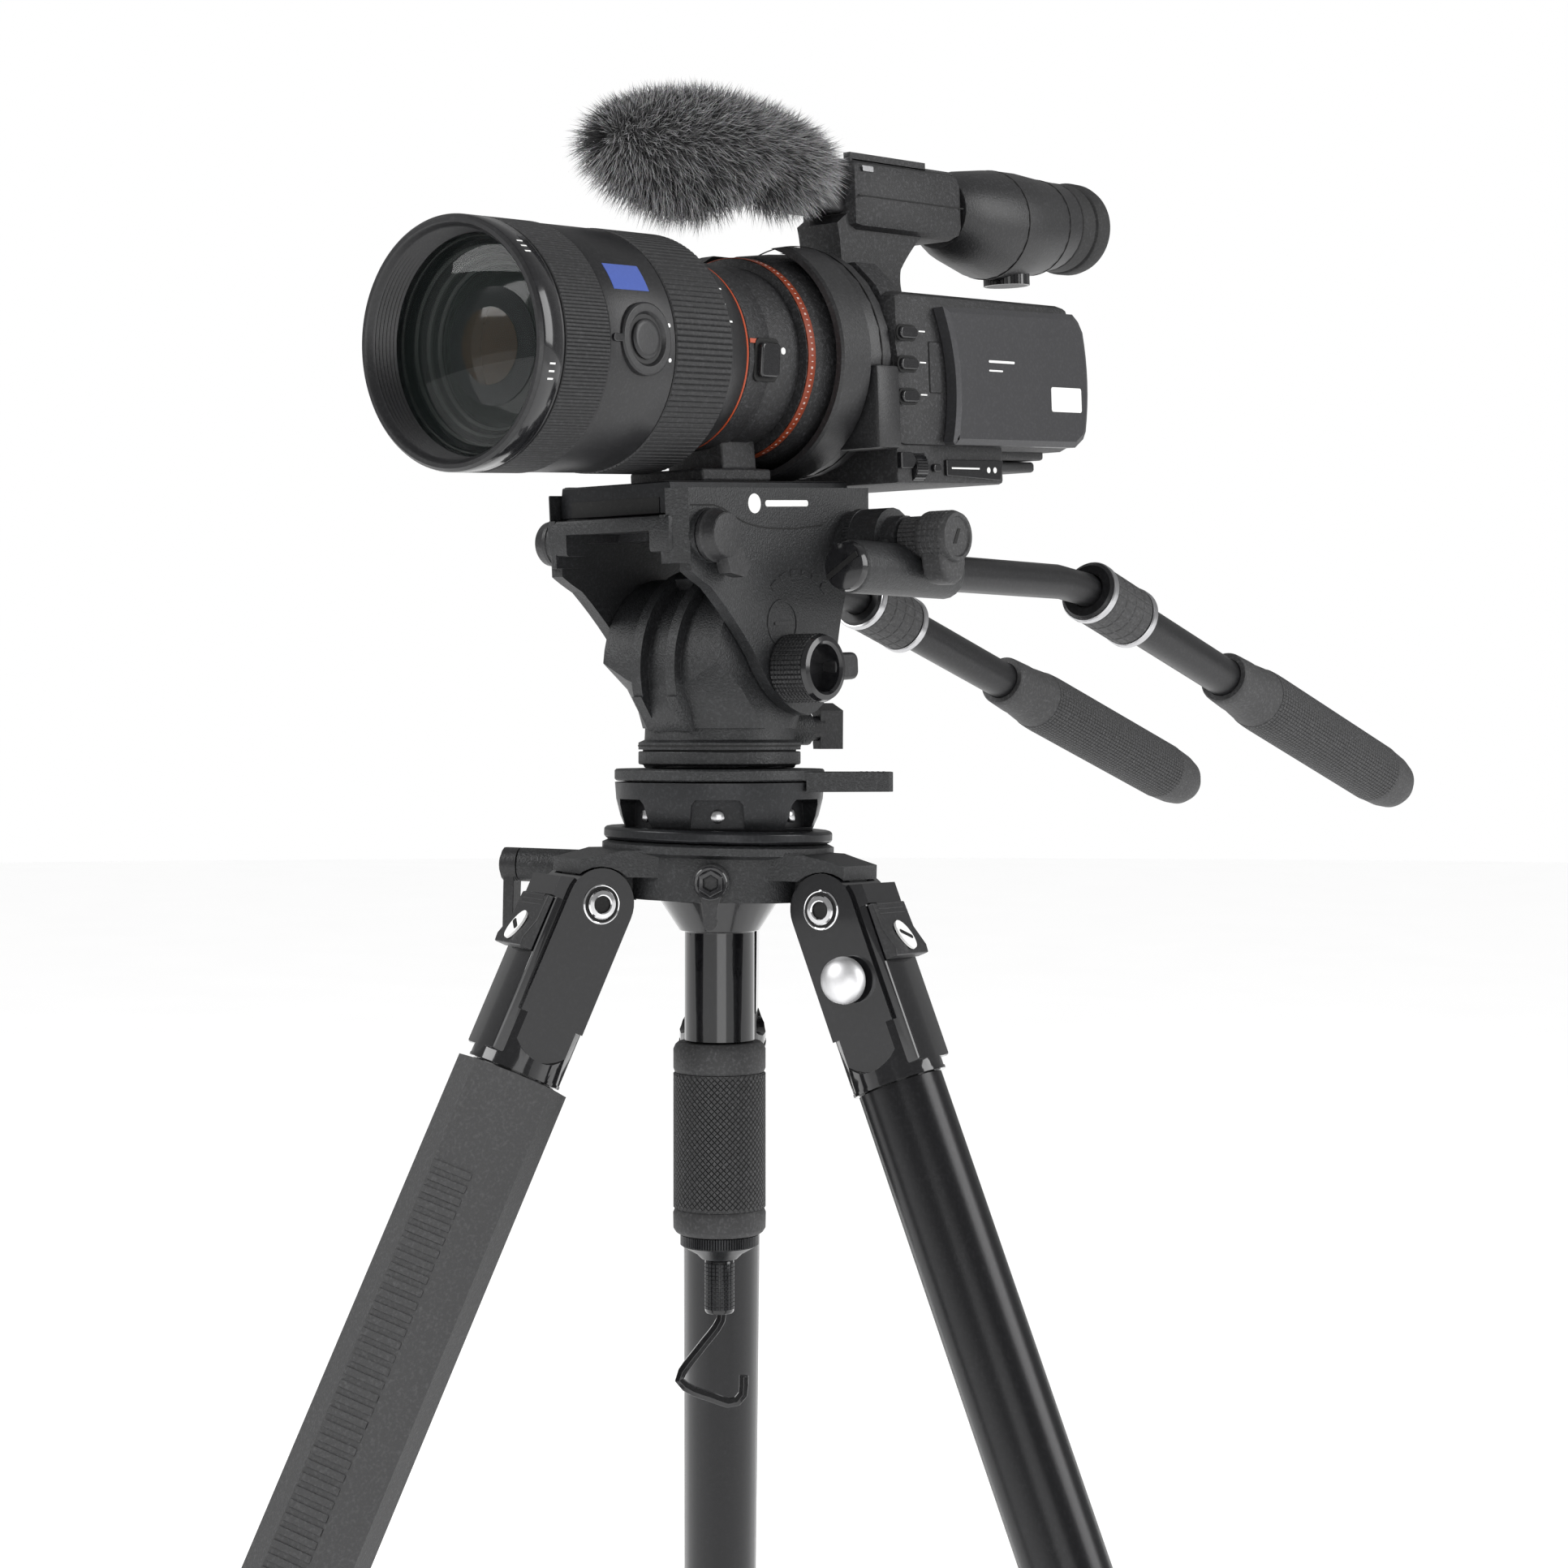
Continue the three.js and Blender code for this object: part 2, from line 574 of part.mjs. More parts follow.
function cradle() {
  const walls = join(
    plateX(cradleSide(), CRADLE_INNER_X, CRADLE_X, 6),
    plateX(cradleSide(), -CRADLE_X, -CRADLE_INNER_X, 6));
  const deck = block([-28, -50, 46.5], [28, 48, 53.6]);
  const lip = block([-28, -57, 42], [28, -46, 54.4], 1.2);
  const corner = new THREE.Shape();
  corner.moveTo(24, -57);
  corner.lineTo(26, -57);
  corner.lineTo(CRADLE_X, -51);
  corner.lineTo(CRADLE_X, -44);
  corner.lineTo(24, -44);
  corner.closePath();
  const corners = join(
    plateZ(corner, 38, CRADLE_TOP),
    asSolid(plateZ(corner, 38, CRADLE_TOP)).mirror([1, 0, 0]));
  const boss = turnedX(rod(11, CRADLE_X - 1, 35), 18).translate(0, HANDLE_PIVOT_Y, HANDLE_PIVOT_Z);
  const lockBoss = turnedX(rod(9.4, CRADLE_X - 1, 34), 16).translate(0, -42, 47);
  const oneSide = join(boss, lockBoss);
  const trimFront = join(
    block([25.9, -70, 30], [40, -51, 70]),
    block([-40, -70, 30], [-25.9, -51, 70]));
  const bosses = join(oneSide, oneSide.mirror([1, 0, 0]));
  const body = join(cut(walls, trimFront), corners, deck, lip, bosses);
  const window = block([-19, -70, 20], [19, -30, 49.4]);
  const channel = block([-26.4, -80, 54.4], [26.4, 80, 80]);
  const shaftRoom = turnedX(rod(9.4, -40, 31.4), 18);
  const screwSlot = block([-5, -30, 40], [5, 30, 60]);
  return cut(body, window, channel, shaftRoom, screwSlot);
}

add(tilt, 'cradle', cradle(), CAST_BLACK);

function quickPlate() {
  const section = [
    [-25.8, 54.8], [25.8, 54.8], [25.8, 59], [24.6, PLATE_TOP], [-24.6, PLATE_TOP], [-25.8, 59],
  ];
  return plateY(section, -52, 47);
}

add(tilt, 'quick_plate', quickPlate(), ANODISED);

const plateLockFrame = groupAt(tilt, 'plate_lock_frame', 0, -42, 47);

function plateLock() {
  const wing = [[-1, -5], [7, -3], [12.4, -11], [9, -14.6], [2, -13]];
  return join(
    turnedX([[0, 34.3], [9, 34.3], [9, 35.6], [7.6, 36.4], [7.6, 41], [0, 41]], 18),
    plateX(wing, 35, 40.4));
}

add(plateLockFrame, 'plate_lock', plateLock(), PLASTIC);

// Tilt lock: knurled knob with a dished face and a short wing.
function tiltKnob() {
  const knob = turnedX([
    [0, 32.4], [11.4, 32.4], [12, 33], [12, 45.6], [11, 48], [8.6, 48], [8.2, 41], [0, 41],
  ], 26);
  const wing = [[8, -5.4], [19, -4.6], [19, 4.8], [8, 5.6]];
  return join(knob, plateX(wing, 38, 46.6));
}

add(tilt, 'tilt_knob', tiltKnob(), CAST_BLACK);

// ---------------------------------------------------------------- pan handles

const ROD_INSERT = 9.5;
const BEND_RUN = 12;
const SLEEVE_R_OUT = 8;

function handleClamp() {
  const rosette = turnedX(rod(11.4, 35.4, 50), 20);
  const shoulder = turnedX(rod(8.4, 49, 56), 18);
  const barrel = turnedY([[0, -35.6], [7.4, -35.6], [9.2, -33.4], [9.4, -32], [9.4, 23], [0, 23]], 20)
    .translate(HANDLE_X, 0, -ROD_DROP);
  const web = block([46, -9, -ROD_DROP], [54, 10, 0], 1);
  const rodBore = turnedY(rod(ROD_R + GAP, ROD_INSERT, 28), 18).translate(HANDLE_X, 0, -ROD_DROP);
  const knobRoom = turnedX(rod(8.2, 56.6, 90), 18);
  const body = cut(join(rosette, shoulder, barrel, web), knobRoom);
  return cut(body, rodBore);
}

function handleKnob() {
  const wing = new THREE.Shape();
  wing.moveTo(-5.6, 0);
  wing.quadraticCurveTo(-7.4, -10, -6, -15);
  wing.quadraticCurveTo(0, -18.4, 5, -15);
  wing.quadraticCurveTo(5.4, -8, 6.6, 0);
  wing.closePath();
  const stem = turnedX([[0, 57], [7.3, 57], [7.6, 58], [7.6, 77], [6.8, 78.6], [0, 78.6]], 18);
  return join(stem, plateX(wing, 66.2, 77, 8));
}

function handleRod() {
  const slope = radians(ROD_SLOPE);
  const flat = (y) => new THREE.Vector3(HANDLE_X, y, -ROD_DROP);
  const downhill = new THREE.Vector3(0, Math.cos(slope), -Math.sin(slope));
  const along = (distance) => flat(ROD_BEND_Y).addScaledVector(downhill, distance);
  const path = new THREE.CurvePath();
  path.add(new THREE.LineCurve3(flat(ROD_INSERT + GAP), flat(ROD_BEND_Y - BEND_RUN)));
  path.add(new THREE.QuadraticBezierCurve3(flat(ROD_BEND_Y - BEND_RUN), flat(ROD_BEND_Y), along(BEND_RUN)));
  path.add(new THREE.LineCurve3(along(BEND_RUN), along(112)));
  return wire(path, ROD_R, 12, 12);
}

// Sleeve with its collar, and the moulded grip; both lie along +Y of the sloping frame.
const sleeveProfile = [
  [6.9, 8.6], [10.6, 8.6], [11.8, 10.6], [11.8, 42.6], [10.6, 44.8], [SLEEVE_R_OUT, 44.8],
  [SLEEVE_R_OUT, 250], [6.9, 250], [6.9, 8.6],
];
const gripProfile = [
  [8.3, 118], [10.4, 118], [10.9, 122], [11.6, 134], [12.9, 150], [13.1, 200], [12.6, 262], [12, 274],
  [9.4, 281], [5, 283.4], [0, 283.6], [0, 251], [8.3, 251], [8.3, 118],
];

function addHandle(side, name) {
  const pivot = groupAt(tilt, `${name}_handle_frame`, 0, HANDLE_PIVOT_Y, HANDLE_PIVOT_Z);
  pivot.rotation.x = -radians(NOSE_DOWN);
  const mirrored = (shape) => (side > 0 ? asSolid(shape) : asSolid(shape).mirror([1, 0, 0]));
  add(pivot, `${name}_handle_clamp`, mirrored(handleClamp()), CAST_BLACK);
  add(pivot, `${name}_handle_knob`, mirrored(handleKnob()), RUBBER);
  add(pivot, `${name}_handle_rod`, mirrored(handleRod()), ANODISED);
  const slope = groupAt(pivot, `${name}_slope_frame`, side * HANDLE_X, ROD_BEND_Y, -ROD_DROP);
  slope.rotation.x = -radians(ROD_SLOPE);
  add(slope, `${name}_handle_sleeve`, turnedY(sleeveProfile, 20), ANODISED);
  add(slope, `${name}_handle_grip`, turnedY(gripProfile, 20), RUBBER);
}

addHandle(1, 'left');
addHandle(-1, 'right');

// ---------------------------------------------------------------- lens and adapter

const camera = groupAt(tilt, 'camera_frame', 0, LENS_Y, LENS_Z);

add(camera, 'lens_barrel', turnedY([
  [0, -118], [33.6, -118], [34.6, -121], [36.4, -136], [40.4, -136], [BARREL_R, -134.5], [BARREL_R, -125.3],
  [38.4, -125.3], [38.4, -103.7], [BARREL_R, -103.7], [BARREL_R, -71.8], [38.4, -71.8], [38.4, -41.7],
  [39.4, -41.7], [39.2, -38], [34.2, -27], [33.4, -24.3], [0, -24.3],
], 28), PLASTIC);
add(camera, 'focus_ring', turnedY(ring(38.7, 41.3, -125, -104), 28), RUBBER);
add(camera, 'zoom_ring', turnedY([
  [38.7, -71.5], [41.3, -71.5], [41.1, -42], [38.7, -42], [38.7, -71.5],
], 28), RUBBER);

// Front element: a shallow dome set just inside the barrel mouth.
function frontGlass() {
  const rim = 32.6;
  const profile = [[0, -118.3], [rim, -118.3]];
  for (let i = 0; i <= 4; i += 1) {
    const r = rim * (1 - i / 4);
    profile.push([r, -119.8 - 5.2 * (1 - (r / rim) ** 2)]);
  }
  return turnedY(profile, 28);
}

function mountAdapter() {
  const tube = turnedY([
    [0, -24], [ADAPTER_R, -24], [ADAPTER_R, -12], [32.6, -11.6], [32.6, 4.6], [0, 4.6],
  ], 28);
  const foot = block([-12, -18, -44.6], [12, 3.6, -20], 1.6);
  const shoe = block([-17, -32, -44.6], [17, 6, -39], 1.4);
  return join(tube, foot, shoe);
}

add(camera, 'front_glass', frontGlass(), GLASS);
add(camera, 'mount_adapter', mountAdapter(), PLASTIC);

// ---------------------------------------------------------------- camcorder body

const DIAL_AT = [38.5, 60.5, -40.2];

function cameraBody() {
  const shell = block([-BODY_X, BODY_FRONT, BODY_BOTTOM], [BODY_X, BODY_BACK, BODY_TOP], 5);
  const front = turnedY([[0, 20], [43.4, 36], [43.8, 60], [0, 66]], 20);
  const nose = turnedY([[0, 4.9], [36, 4.9], [36, 10], [37.2, 12], [39.2, 30.6], [39.2, 49], [0, 49]], 28);
  const trunk = common(block([-60, 30.9, BODY_BOTTOM - 4], [60, 60.4, BODY_TOP + 11.5]), front);
  const handGrip = block([-57, 62, -29], [-40, 150, 20], 7);
  const base = block([-36, 48, -46.4], [42, 116, BODY_BOTTOM + 4], 1.5);
  const tail = block([-30, 112, BODY_BOTTOM - 3], [34, 156, BODY_BOTTOM + 4], 1.2);
  const dialRoom = turnedY(rod(6.2, -4, 4), 16).translate(...DIAL_AT);
  const ringRoom = turnedY(ring(39.2, 60, 30.7, 47.9), 28);
  return cut(join(shell, cut(trunk, ringRoom), nose, handGrip, base, tail), dialRoom);
}

add(camera, 'camera_body', cameraBody(), PLASTIC);
add(camera, 'control_dial', turnedY(rod(5.8, -3.5, 3.5), 16).translate(...DIAL_AT), DARK_PLASTIC);

// Hood ring round the lens mount: flat on top, with a thick ledge low on the door side.
function mountShroud() {
  const hoop = turnedY([
    [39.5, 31], [41.4, 31], [42.6, 33], [42.6, 45.4], [41.6, 46.7], [39.5, 46.7], [39.5, 31],
  ], 28);
  const ledge = cut(
    block([26, 33, -34], [45.5, 46.7, -4], 1.5),
    turnedY(rod(40.2, 0, 60), 28));
  return common(join(hoop, ledge), block([-60, 0, -60], [60, 80, 39]));
}

add(camera, 'mount_shroud', mountShroud(), PLASTIC);

function screenDoor() {
  const side = new THREE.Shape();
  side.moveTo(69.3, 17.8);
  side.quadraticCurveTo(81, -6, 72.4, -32.6);
  side.lineTo(157, -32.6);
  side.quadraticCurveTo(164, -26, 165.6, -5);
  side.quadraticCurveTo(165, 10, 156, 19.4);
  side.closePath();
  return plateX(side, BODY_X + 0.4, BODY_X + 4.8, 10);
}

add(camera, 'screen_door', screenDoor(), SATIN_PANEL);
add(camera, 'battery', block([-27, 118, -41], [31, 154, BODY_BOTTOM - 3.4], 1.2), DARK_PLASTIC);

// Carrying handle: long bar with an accessory rail, on a flared pillar.
function topHandle() {
  const bar = block([-14, 66.4, 50], [14, FINDER_START - 0.6, 76], 5);
  const rail = block([-9, 70, 74], [9, 118, 79]);
  const pillar = new THREE.Shape();
  pillar.moveTo(61, BODY_TOP + GAP);
  pillar.quadraticCurveTo(63, 42, 60, 52);
  pillar.lineTo(66.6, 56);
  pillar.lineTo(122, 56);
  pillar.quadraticCurveTo(108, 48, 99, 37);
  pillar.quadraticCurveTo(97, 31, 101, BODY_TOP + GAP);
  pillar.closePath();
  const groove = block([-6, 69, 76.6], [6, 119, 82]);
  return cut(join(bar, rail, plateX(pillar, -9.5, 9.5, 10)), groove);
}

add(camera, 'top_handle', topHandle(), PLASTIC);

// Viewfinder: a tube that swells downwards, on a hinge at the top of the handle's end.
function viewfinder() {
  const tube = turnedY([
    [0, 0], [14, 0], [15.6, 3.4], [18, 10.6], [21.6, 30.6], [21.8, 47], [19.6, 65], [18, FINDER_LENGTH],
    [0, FINDER_LENGTH],
  ], 26);
  const position = tube.getAttribute('position');
  for (let i = 0; i < position.count; i += 1) {
    const along = position.getY(i) / FINDER_LENGTH;
    const sag = 2.6 * Math.sin(Math.PI * THREE.MathUtils.clamp(along, 0, 1));
    position.setZ(i, position.getZ(i) - sag);
  }
  const dial = turned([[0, -26.2], [8.6, -26.2], [9, -25.4], [9, -18.6], [0, -18.6]], 16);
  return join(tube, dial.translate(0, 47, 0)).translate(0, FINDER_START, FINDER_Z);
}

add(camera, 'viewfinder', viewfinder(), PLASTIC);
add(camera, 'eyecup', turnedY([
  [13, GAP], [18, GAP], [18.4, 16], [17.6, 21.2], [13.4, 21.6], [12, 16], [13, GAP],
], 26).translate(0, FINDER_START + FINDER_LENGTH, FINDER_Z), RUBBER);

// Fur windshield over the microphone: a plain closed solid of its own size.
function windshield() {
  const profile = [];
  for (let i = 0; i <= 12; i += 1) {
    const angle = Math.PI * (i / 12);
    const y = -66 * Math.cos(angle);
    const swell = 25.5 - 1.8 * Math.sin(angle) * Math.cos(angle * 1.2);
    profile.push([swell * Math.sin(angle) ** 0.62, y]);
  }
  profile[0][0] = 0;
  profile[12][0] = 0;
  return turnedY(profile, 18).translate(0, 0, 72);
}

add(camera, 'fur_windshield', windshield(), FUR);

export default part;
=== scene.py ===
"""Camcorder with a fur-covered microphone, on a two-handled video head and a three-legged stand."""
import json
import math
import random

import bmesh
import bpy
from mathutils import Matrix, Vector


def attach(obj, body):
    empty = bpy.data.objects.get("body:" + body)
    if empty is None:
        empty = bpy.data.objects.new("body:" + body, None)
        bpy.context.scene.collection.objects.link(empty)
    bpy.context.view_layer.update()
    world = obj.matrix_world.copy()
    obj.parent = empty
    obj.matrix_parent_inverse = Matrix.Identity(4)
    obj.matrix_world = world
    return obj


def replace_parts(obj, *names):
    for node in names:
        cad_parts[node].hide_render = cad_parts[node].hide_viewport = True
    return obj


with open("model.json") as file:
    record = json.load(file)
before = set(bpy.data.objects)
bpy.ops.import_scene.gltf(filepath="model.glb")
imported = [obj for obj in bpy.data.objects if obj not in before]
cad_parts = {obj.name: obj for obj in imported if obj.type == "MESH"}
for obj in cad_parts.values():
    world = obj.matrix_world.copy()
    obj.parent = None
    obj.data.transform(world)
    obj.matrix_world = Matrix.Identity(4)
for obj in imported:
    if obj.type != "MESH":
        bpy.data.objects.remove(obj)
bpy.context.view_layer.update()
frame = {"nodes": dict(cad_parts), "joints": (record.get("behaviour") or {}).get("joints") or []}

# ---------------------------------------------------------------- studio
# A pale floor that runs out to a white surround, one large soft box above the left
# shoulder, one behind on the right and a low fill, as on a product table.
MM = 0.001


def set_values(node, **values):
    """Sets inputs of a node by name, with underscores for spaces."""
    for label, value in values.items():
        node.inputs[label.replace("_", " ")].default_value = value


def studio_floor():
    bm = bmesh.new()
    bmesh.ops.create_circle(bm, cap_ends=True, segments=96, radius=14)
    mesh = bpy.data.meshes.new("studio_floor")
    bm.to_mesh(mesh)
    bm.free()
    floor = bpy.data.objects.new("studio_floor", mesh)
    bpy.context.scene.collection.objects.link(floor)
    paint = bpy.data.materials.new("floor_paint")
    paint.use_nodes = True
    nodes = paint.node_tree.nodes
    shader = nodes["Principled BSDF"]
    set_values(shader, Roughness=0.75, Emission_Color=(1, 1, 1, 1), Emission_Strength=0.16)
    speckle = nodes.new("ShaderNodeTexNoise")
    speckle.inputs["Scale"].default_value = 90
    tone = nodes.new("ShaderNodeMapRange")
    set_values(tone, To_Min=0.86, To_Max=0.9)
    paint.node_tree.links.new(speckle.outputs["Fac"], tone.inputs["Value"])
    paint.node_tree.links.new(tone.outputs["Result"], shader.inputs["Base Color"])
    mesh.materials.append(paint)


def soft_box(name, place, target, size, power):
    data = bpy.data.lights.new(name, "AREA")
    data.shape = "RECTANGLE"
    data.size, data.size_y = size
    data.energy = power
    lamp = bpy.data.objects.new(name, data)
    lamp.location = place
    lamp.rotation_euler = (Vector(target) - Vector(place)).to_track_quat("-Z", "Y").to_euler()
    bpy.context.scene.collection.objects.link(lamp)


def white_surround():
    world = bpy.data.worlds.new("surround")
    world.use_nodes = True
    nodes, links = world.node_tree.nodes, world.node_tree.links
    back = nodes["Background"]
    ray = nodes.new("ShaderNodeLightPath")
    strength = nodes.new("ShaderNodeMapRange")
    set_values(strength, To_Min=1.0, To_Max=0.3)
    back.inputs["Color"].default_value = (1, 1, 1, 1)
    links.new(ray.outputs["Is Glossy Ray"], strength.inputs["Value"])
    links.new(strength.outputs["Result"], back.inputs["Strength"])
    bpy.context.scene.world = world


def main_camera():
    data = bpy.data.cameras.new("camera")
    data.lens = 66.8
    data.sensor_width = 36
    data.shift_y = -0.0318
    eye = bpy.data.objects.new("camera", data)
    eye.location = (0.6215, -0.8553, 0.640)
    eye.rotation_euler = Vector((-0.6239, 0.7815, 0)).to_track_quat("-Z", "Y").to_euler()
    bpy.context.scene.collection.objects.link(eye)
    bpy.context.scene.camera = eye


studio_floor()
white_surround()
main_camera()
soft_box("key_box", (-1.3, -1.9, 2.3), (0, 0, 0.6), (1.6, 1.6), 44)
soft_box("rear_box", (2.2, 1.2, 1.6), (0, 0, 0.6), (1.4, 1.8), 34)
soft_box("fill_box", (1.6, -1.6, 0.5), (0, 0, 0.6), (1.2, 1.2), 7)
bpy.context.scene.view_settings.view_transform = "Standard"

# ---------------------------------------------------------------- lens barrel
# Black anodised barrel of the zoom lens: smooth satin tube, threaded front rim for 77 mm
# filters and a stepped black mouth. It screws to the adapter behind it.
joints = {joint["name"]: joint for joint in frame["joints"]}


def axes_at(origin, z, x):
    """A place in millimetres: local X and Z run along x and z from origin, given in metres."""
    z = Vector(z).normalized()
    x = (Vector(x) - z * Vector(x).dot(z)).normalized()
    y = z.cross(x)
    turn = Matrix((x, y, z)).transposed().to_4x4()
    return Matrix.Translation(origin) @ turn @ Matrix.Scale(MM, 4)


def shifted(place, x=0, y=0, z=0):
    """The same axes with their origin moved by millimetres."""
    return place @ Matrix.Translation((x, y, z))


def left_side(place, x, y, z):
    """A place on a left flank at (x, y, z) millimetres: Z points out of it, X to the back."""
    return axes_at(place @ Vector((x, y, z)), across, lens_axis)


def turned(place, degrees, axis="Z"):
    return place @ Matrix.Rotation(math.radians(degrees), 4, axis)


def spun(profile, steps=72, closed=False):
    """A solid of revolution about Z from (radius, height) pairs in millimetres."""
    bm = bmesh.new()
    points = [bm.verts.new((radius, 0, height)) for radius, height in profile]
    pairs = list(zip(points, points[1:]))
    if closed:
        pairs.append((points[-1], points[0]))
    edges = [bm.edges.new(pair) for pair in pairs]
    bmesh.ops.spin(bm, geom=points + edges, cent=(0, 0, 0), axis=(0, 0, 1), dvec=(0, 0, 0), angle=math.tau,
        steps=steps, use_merge=True, use_duplicate=False)
    bmesh.ops.remove_doubles(bm, verts=bm.verts, dist=1e-4)
    bmesh.ops.recalc_face_normals(bm, faces=bm.faces)
    return bm


# Faces that meet at more degrees than this keep a hard edge.
SHARP_FROM = 38


def round_edges(piece, width, segments, angle):
    """Bevels the edges that turn by more than angle degrees; width is in millimetres."""
    rounding = piece.modifiers.new("rounding", "BEVEL")
    rounding.width = width * MM
    rounding.segments = segments
    rounding.limit_method = "ANGLE"
    rounding.angle_limit = math.radians(angle)
    rounding.harden_normals = True


def made(name, bm, place, body, finish, bevel=0.0, segments=2):
    """Puts a finished mesh in its place, in metres, and lets it ride on its body."""
    bmesh.ops.transform(bm, matrix=place, verts=bm.verts)
    for face in bm.faces:
        face.smooth = True
    mesh = bpy.data.meshes.new(name)
    bm.to_mesh(mesh)
    bm.free()
    mesh.set_sharp_from_angle(angle=math.radians(SHARP_FROM))
    mesh.materials.append(finish)
    piece = bpy.data.objects.new(name, mesh)
    bpy.context.scene.collection.objects.link(piece)
    if bevel:
        round_edges(piece, bevel, segments, 35)
    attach(piece, body)
    return piece


def fitted(name, bm, place, finish, bevel=0.0, segments=2):
    """A piece of the camcorder or its lens, riding on the camera body."""
    return made(name, bm, place, "camera", finish, bevel, segments)


def group_of(name, inputs, outputs):
    """An empty node group with its sockets, given as (name, kind, value)."""
    group = bpy.data.node_groups.new(name, "ShaderNodeTree")
    for label, kind, value in inputs:
        socket = group.interface.new_socket(label, in_out="INPUT", socket_type=kind)
        socket.default_value = value
    for label, kind in outputs:
        group.interface.new_socket(label, in_out="OUTPUT", socket_type=kind)
    return group, group.nodes.new("NodeGroupInput"), group.nodes.new("NodeGroupOutput")


def handled_group():
    """Slow drift of gloss over a surface that hands have rubbed, with fine dust."""
    group, given, result = group_of("handled", [("Color", "NodeSocketColor", (0, 0, 0, 1)),
        ("Dust", "NodeSocketColor", (0, 0, 0, 1)), ("Roughness", "NodeSocketFloat", 0.5),
        ("Amount", "NodeSocketFloat", 0.1)], [("Color", "NodeSocketColor"),
        ("Roughness", "NodeSocketFloat")])
    nodes, links = group.nodes, group.links
    place = nodes.new("ShaderNodeTexCoord")
    drift = nodes.new("ShaderNodeTexNoise")
    set_values(drift, Scale=34, Detail=6)
    specks = nodes.new("ShaderNodeTexNoise")
    set_values(specks, Scale=900, Detail=3)
    links.new(place.outputs["Object"], drift.inputs["Vector"])
    links.new(place.outputs["Object"], specks.inputs["Vector"])
    dusty = nodes.new("ShaderNodeMapRange")
    set_values(dusty, From_Min=0.5, From_Max=0.78)
    links.new(specks.outputs["Fac"], dusty.inputs["Value"])
    blend = nodes.new("ShaderNodeMix")
    blend.data_type = "RGBA"
    links.new(dusty.outputs["Result"], blend.inputs["Factor"])
    links.new(given.outputs["Color"], blend.inputs["A"])
    links.new(given.outputs["Dust"], blend.inputs["B"])
    centred = nodes.new("ShaderNodeMath")
    centred.operation = "SUBTRACT"
    centred.inputs[1].default_value = 0.5
    links.new(drift.outputs["Fac"], centred.inputs[0])
    rubbed = nodes.new("ShaderNodeMath")
    rubbed.operation = "MULTIPLY_ADD"
    links.new(centred.outputs["Value"], rubbed.inputs[0])
    links.new(given.outputs["Amount"], rubbed.inputs[1])
    links.new(given.outputs["Roughness"], rubbed.inputs[2])
    links.new(blend.outputs["Result"], result.inputs["Color"])
    links.new(rubbed.outputs["Value"], result.inputs["Roughness"])
    return group


def grain_group():
    """Fine cast or moulded grain, as a bump."""
    group, given, result = group_of("grain", [("Scale", "NodeSocketFloat", 900.0),
        ("Depth", "NodeSocketFloat", 0.1)], [("Normal", "NodeSocketVector")])
    nodes, links = group.nodes, group.links
    place = nodes.new("ShaderNodeTexCoord")
    fine = nodes.new("ShaderNodeTexNoise")
    fine.inputs["Detail"].default_value = 2
    links.new(place.outputs["Object"], fine.inputs["Vector"])
    links.new(given.outputs["Scale"], fine.inputs["Scale"])
    bump = nodes.new("ShaderNodeBump")
    bump.inputs["Distance"].default_value = 0.0006
    links.new(given.outputs["Depth"], bump.inputs["Strength"])
    links.new(fine.outputs["Fac"], bump.inputs["Height"])
    links.new(bump.outputs["Normal"], result.inputs["Normal"])
    return group


# A finish with less dust than this gets no pale specks.
CLEAN_DUST = 1.1
HANDLED = handled_group()
GRAIN = grain_group()


def coated(name, color, roughness, metallic=0.0, dust=1.6, drift=0.12, grain=900, depth=0.15, coat=0.0):
    """A painted, moulded or anodised surface: its tone, gloss, grain and the wear of handling."""
    material = bpy.data.materials.new(name)
    material.use_nodes = True
    nodes, links = material.node_tree.nodes, material.node_tree.links
    shader = nodes["Principled BSDF"]
    set_values(shader, Metallic=metallic, Coat_Weight=coat)
    handled = nodes.new("ShaderNodeGroup")
    handled.node_tree = HANDLED
    handled.inputs["Color"].default_value = (*color, 1)
    lift = 0.004 if dust > CLEAN_DUST else 0
    set_values(handled, Dust=(*(min(1, c * dust + lift) for c in color), 1), Roughness=roughness,
        Amount=drift)
    surface = nodes.new("ShaderNodeGroup")
    surface.node_tree = GRAIN
    set_values(surface, Scale=grain, Depth=depth)
    links.new(handled.outputs["Color"], shader.inputs["Base Color"])
    links.new(handled.outputs["Roughness"], shader.inputs["Roughness"])
    links.new(surface.outputs["Normal"], shader.inputs["Normal"])
    return material


lens_black = coated("lens_black", (0.012, 0.012, 0.013), 0.34, grain=2600, depth=0.12)
gloss_ring = coated("gloss_ring", (0.008, 0.008, 0.009), 0.16, coat=0.3, grain=300, depth=0.02)
# Near-black floor seen in the gap round the hold button: painted shade.
button_gap_shade = coated("button_gap_shade", (0.004, 0.004, 0.0045), 0.45, dust=1.0, grain=400, depth=0.0)
white_print = coated("white_print", (0.75, 0.75, 0.74), 0.5, dust=0.95, grain=2000, depth=0.03)
orange_print = coated("orange_print", (0.36, 0.05, 0.012), 0.4, dust=0.9, grain=2000, depth=0.03)
blue_plate = coated("blue_plate", (0.05, 0.09, 0.34), 0.25, dust=1.1, grain=2000, depth=0.03, coat=0.5)

BARREL_R = 41
FRONT_EDGE = -136
LENS_END = -24.3
lens_axis = Vector(joints["focus"]["axis"])
across = Vector(joints["viewfinder_tilt"]["axis"])
FOCUS_PIVOT = 114
lens_origin = Vector(joints["focus"]["pos_m"]) + lens_axis * FOCUS_PIVOT * MM
lens_at = axes_at(lens_origin, lens_axis, across)
camera_at = axes_at(lens_origin, across.cross(lens_axis), across)

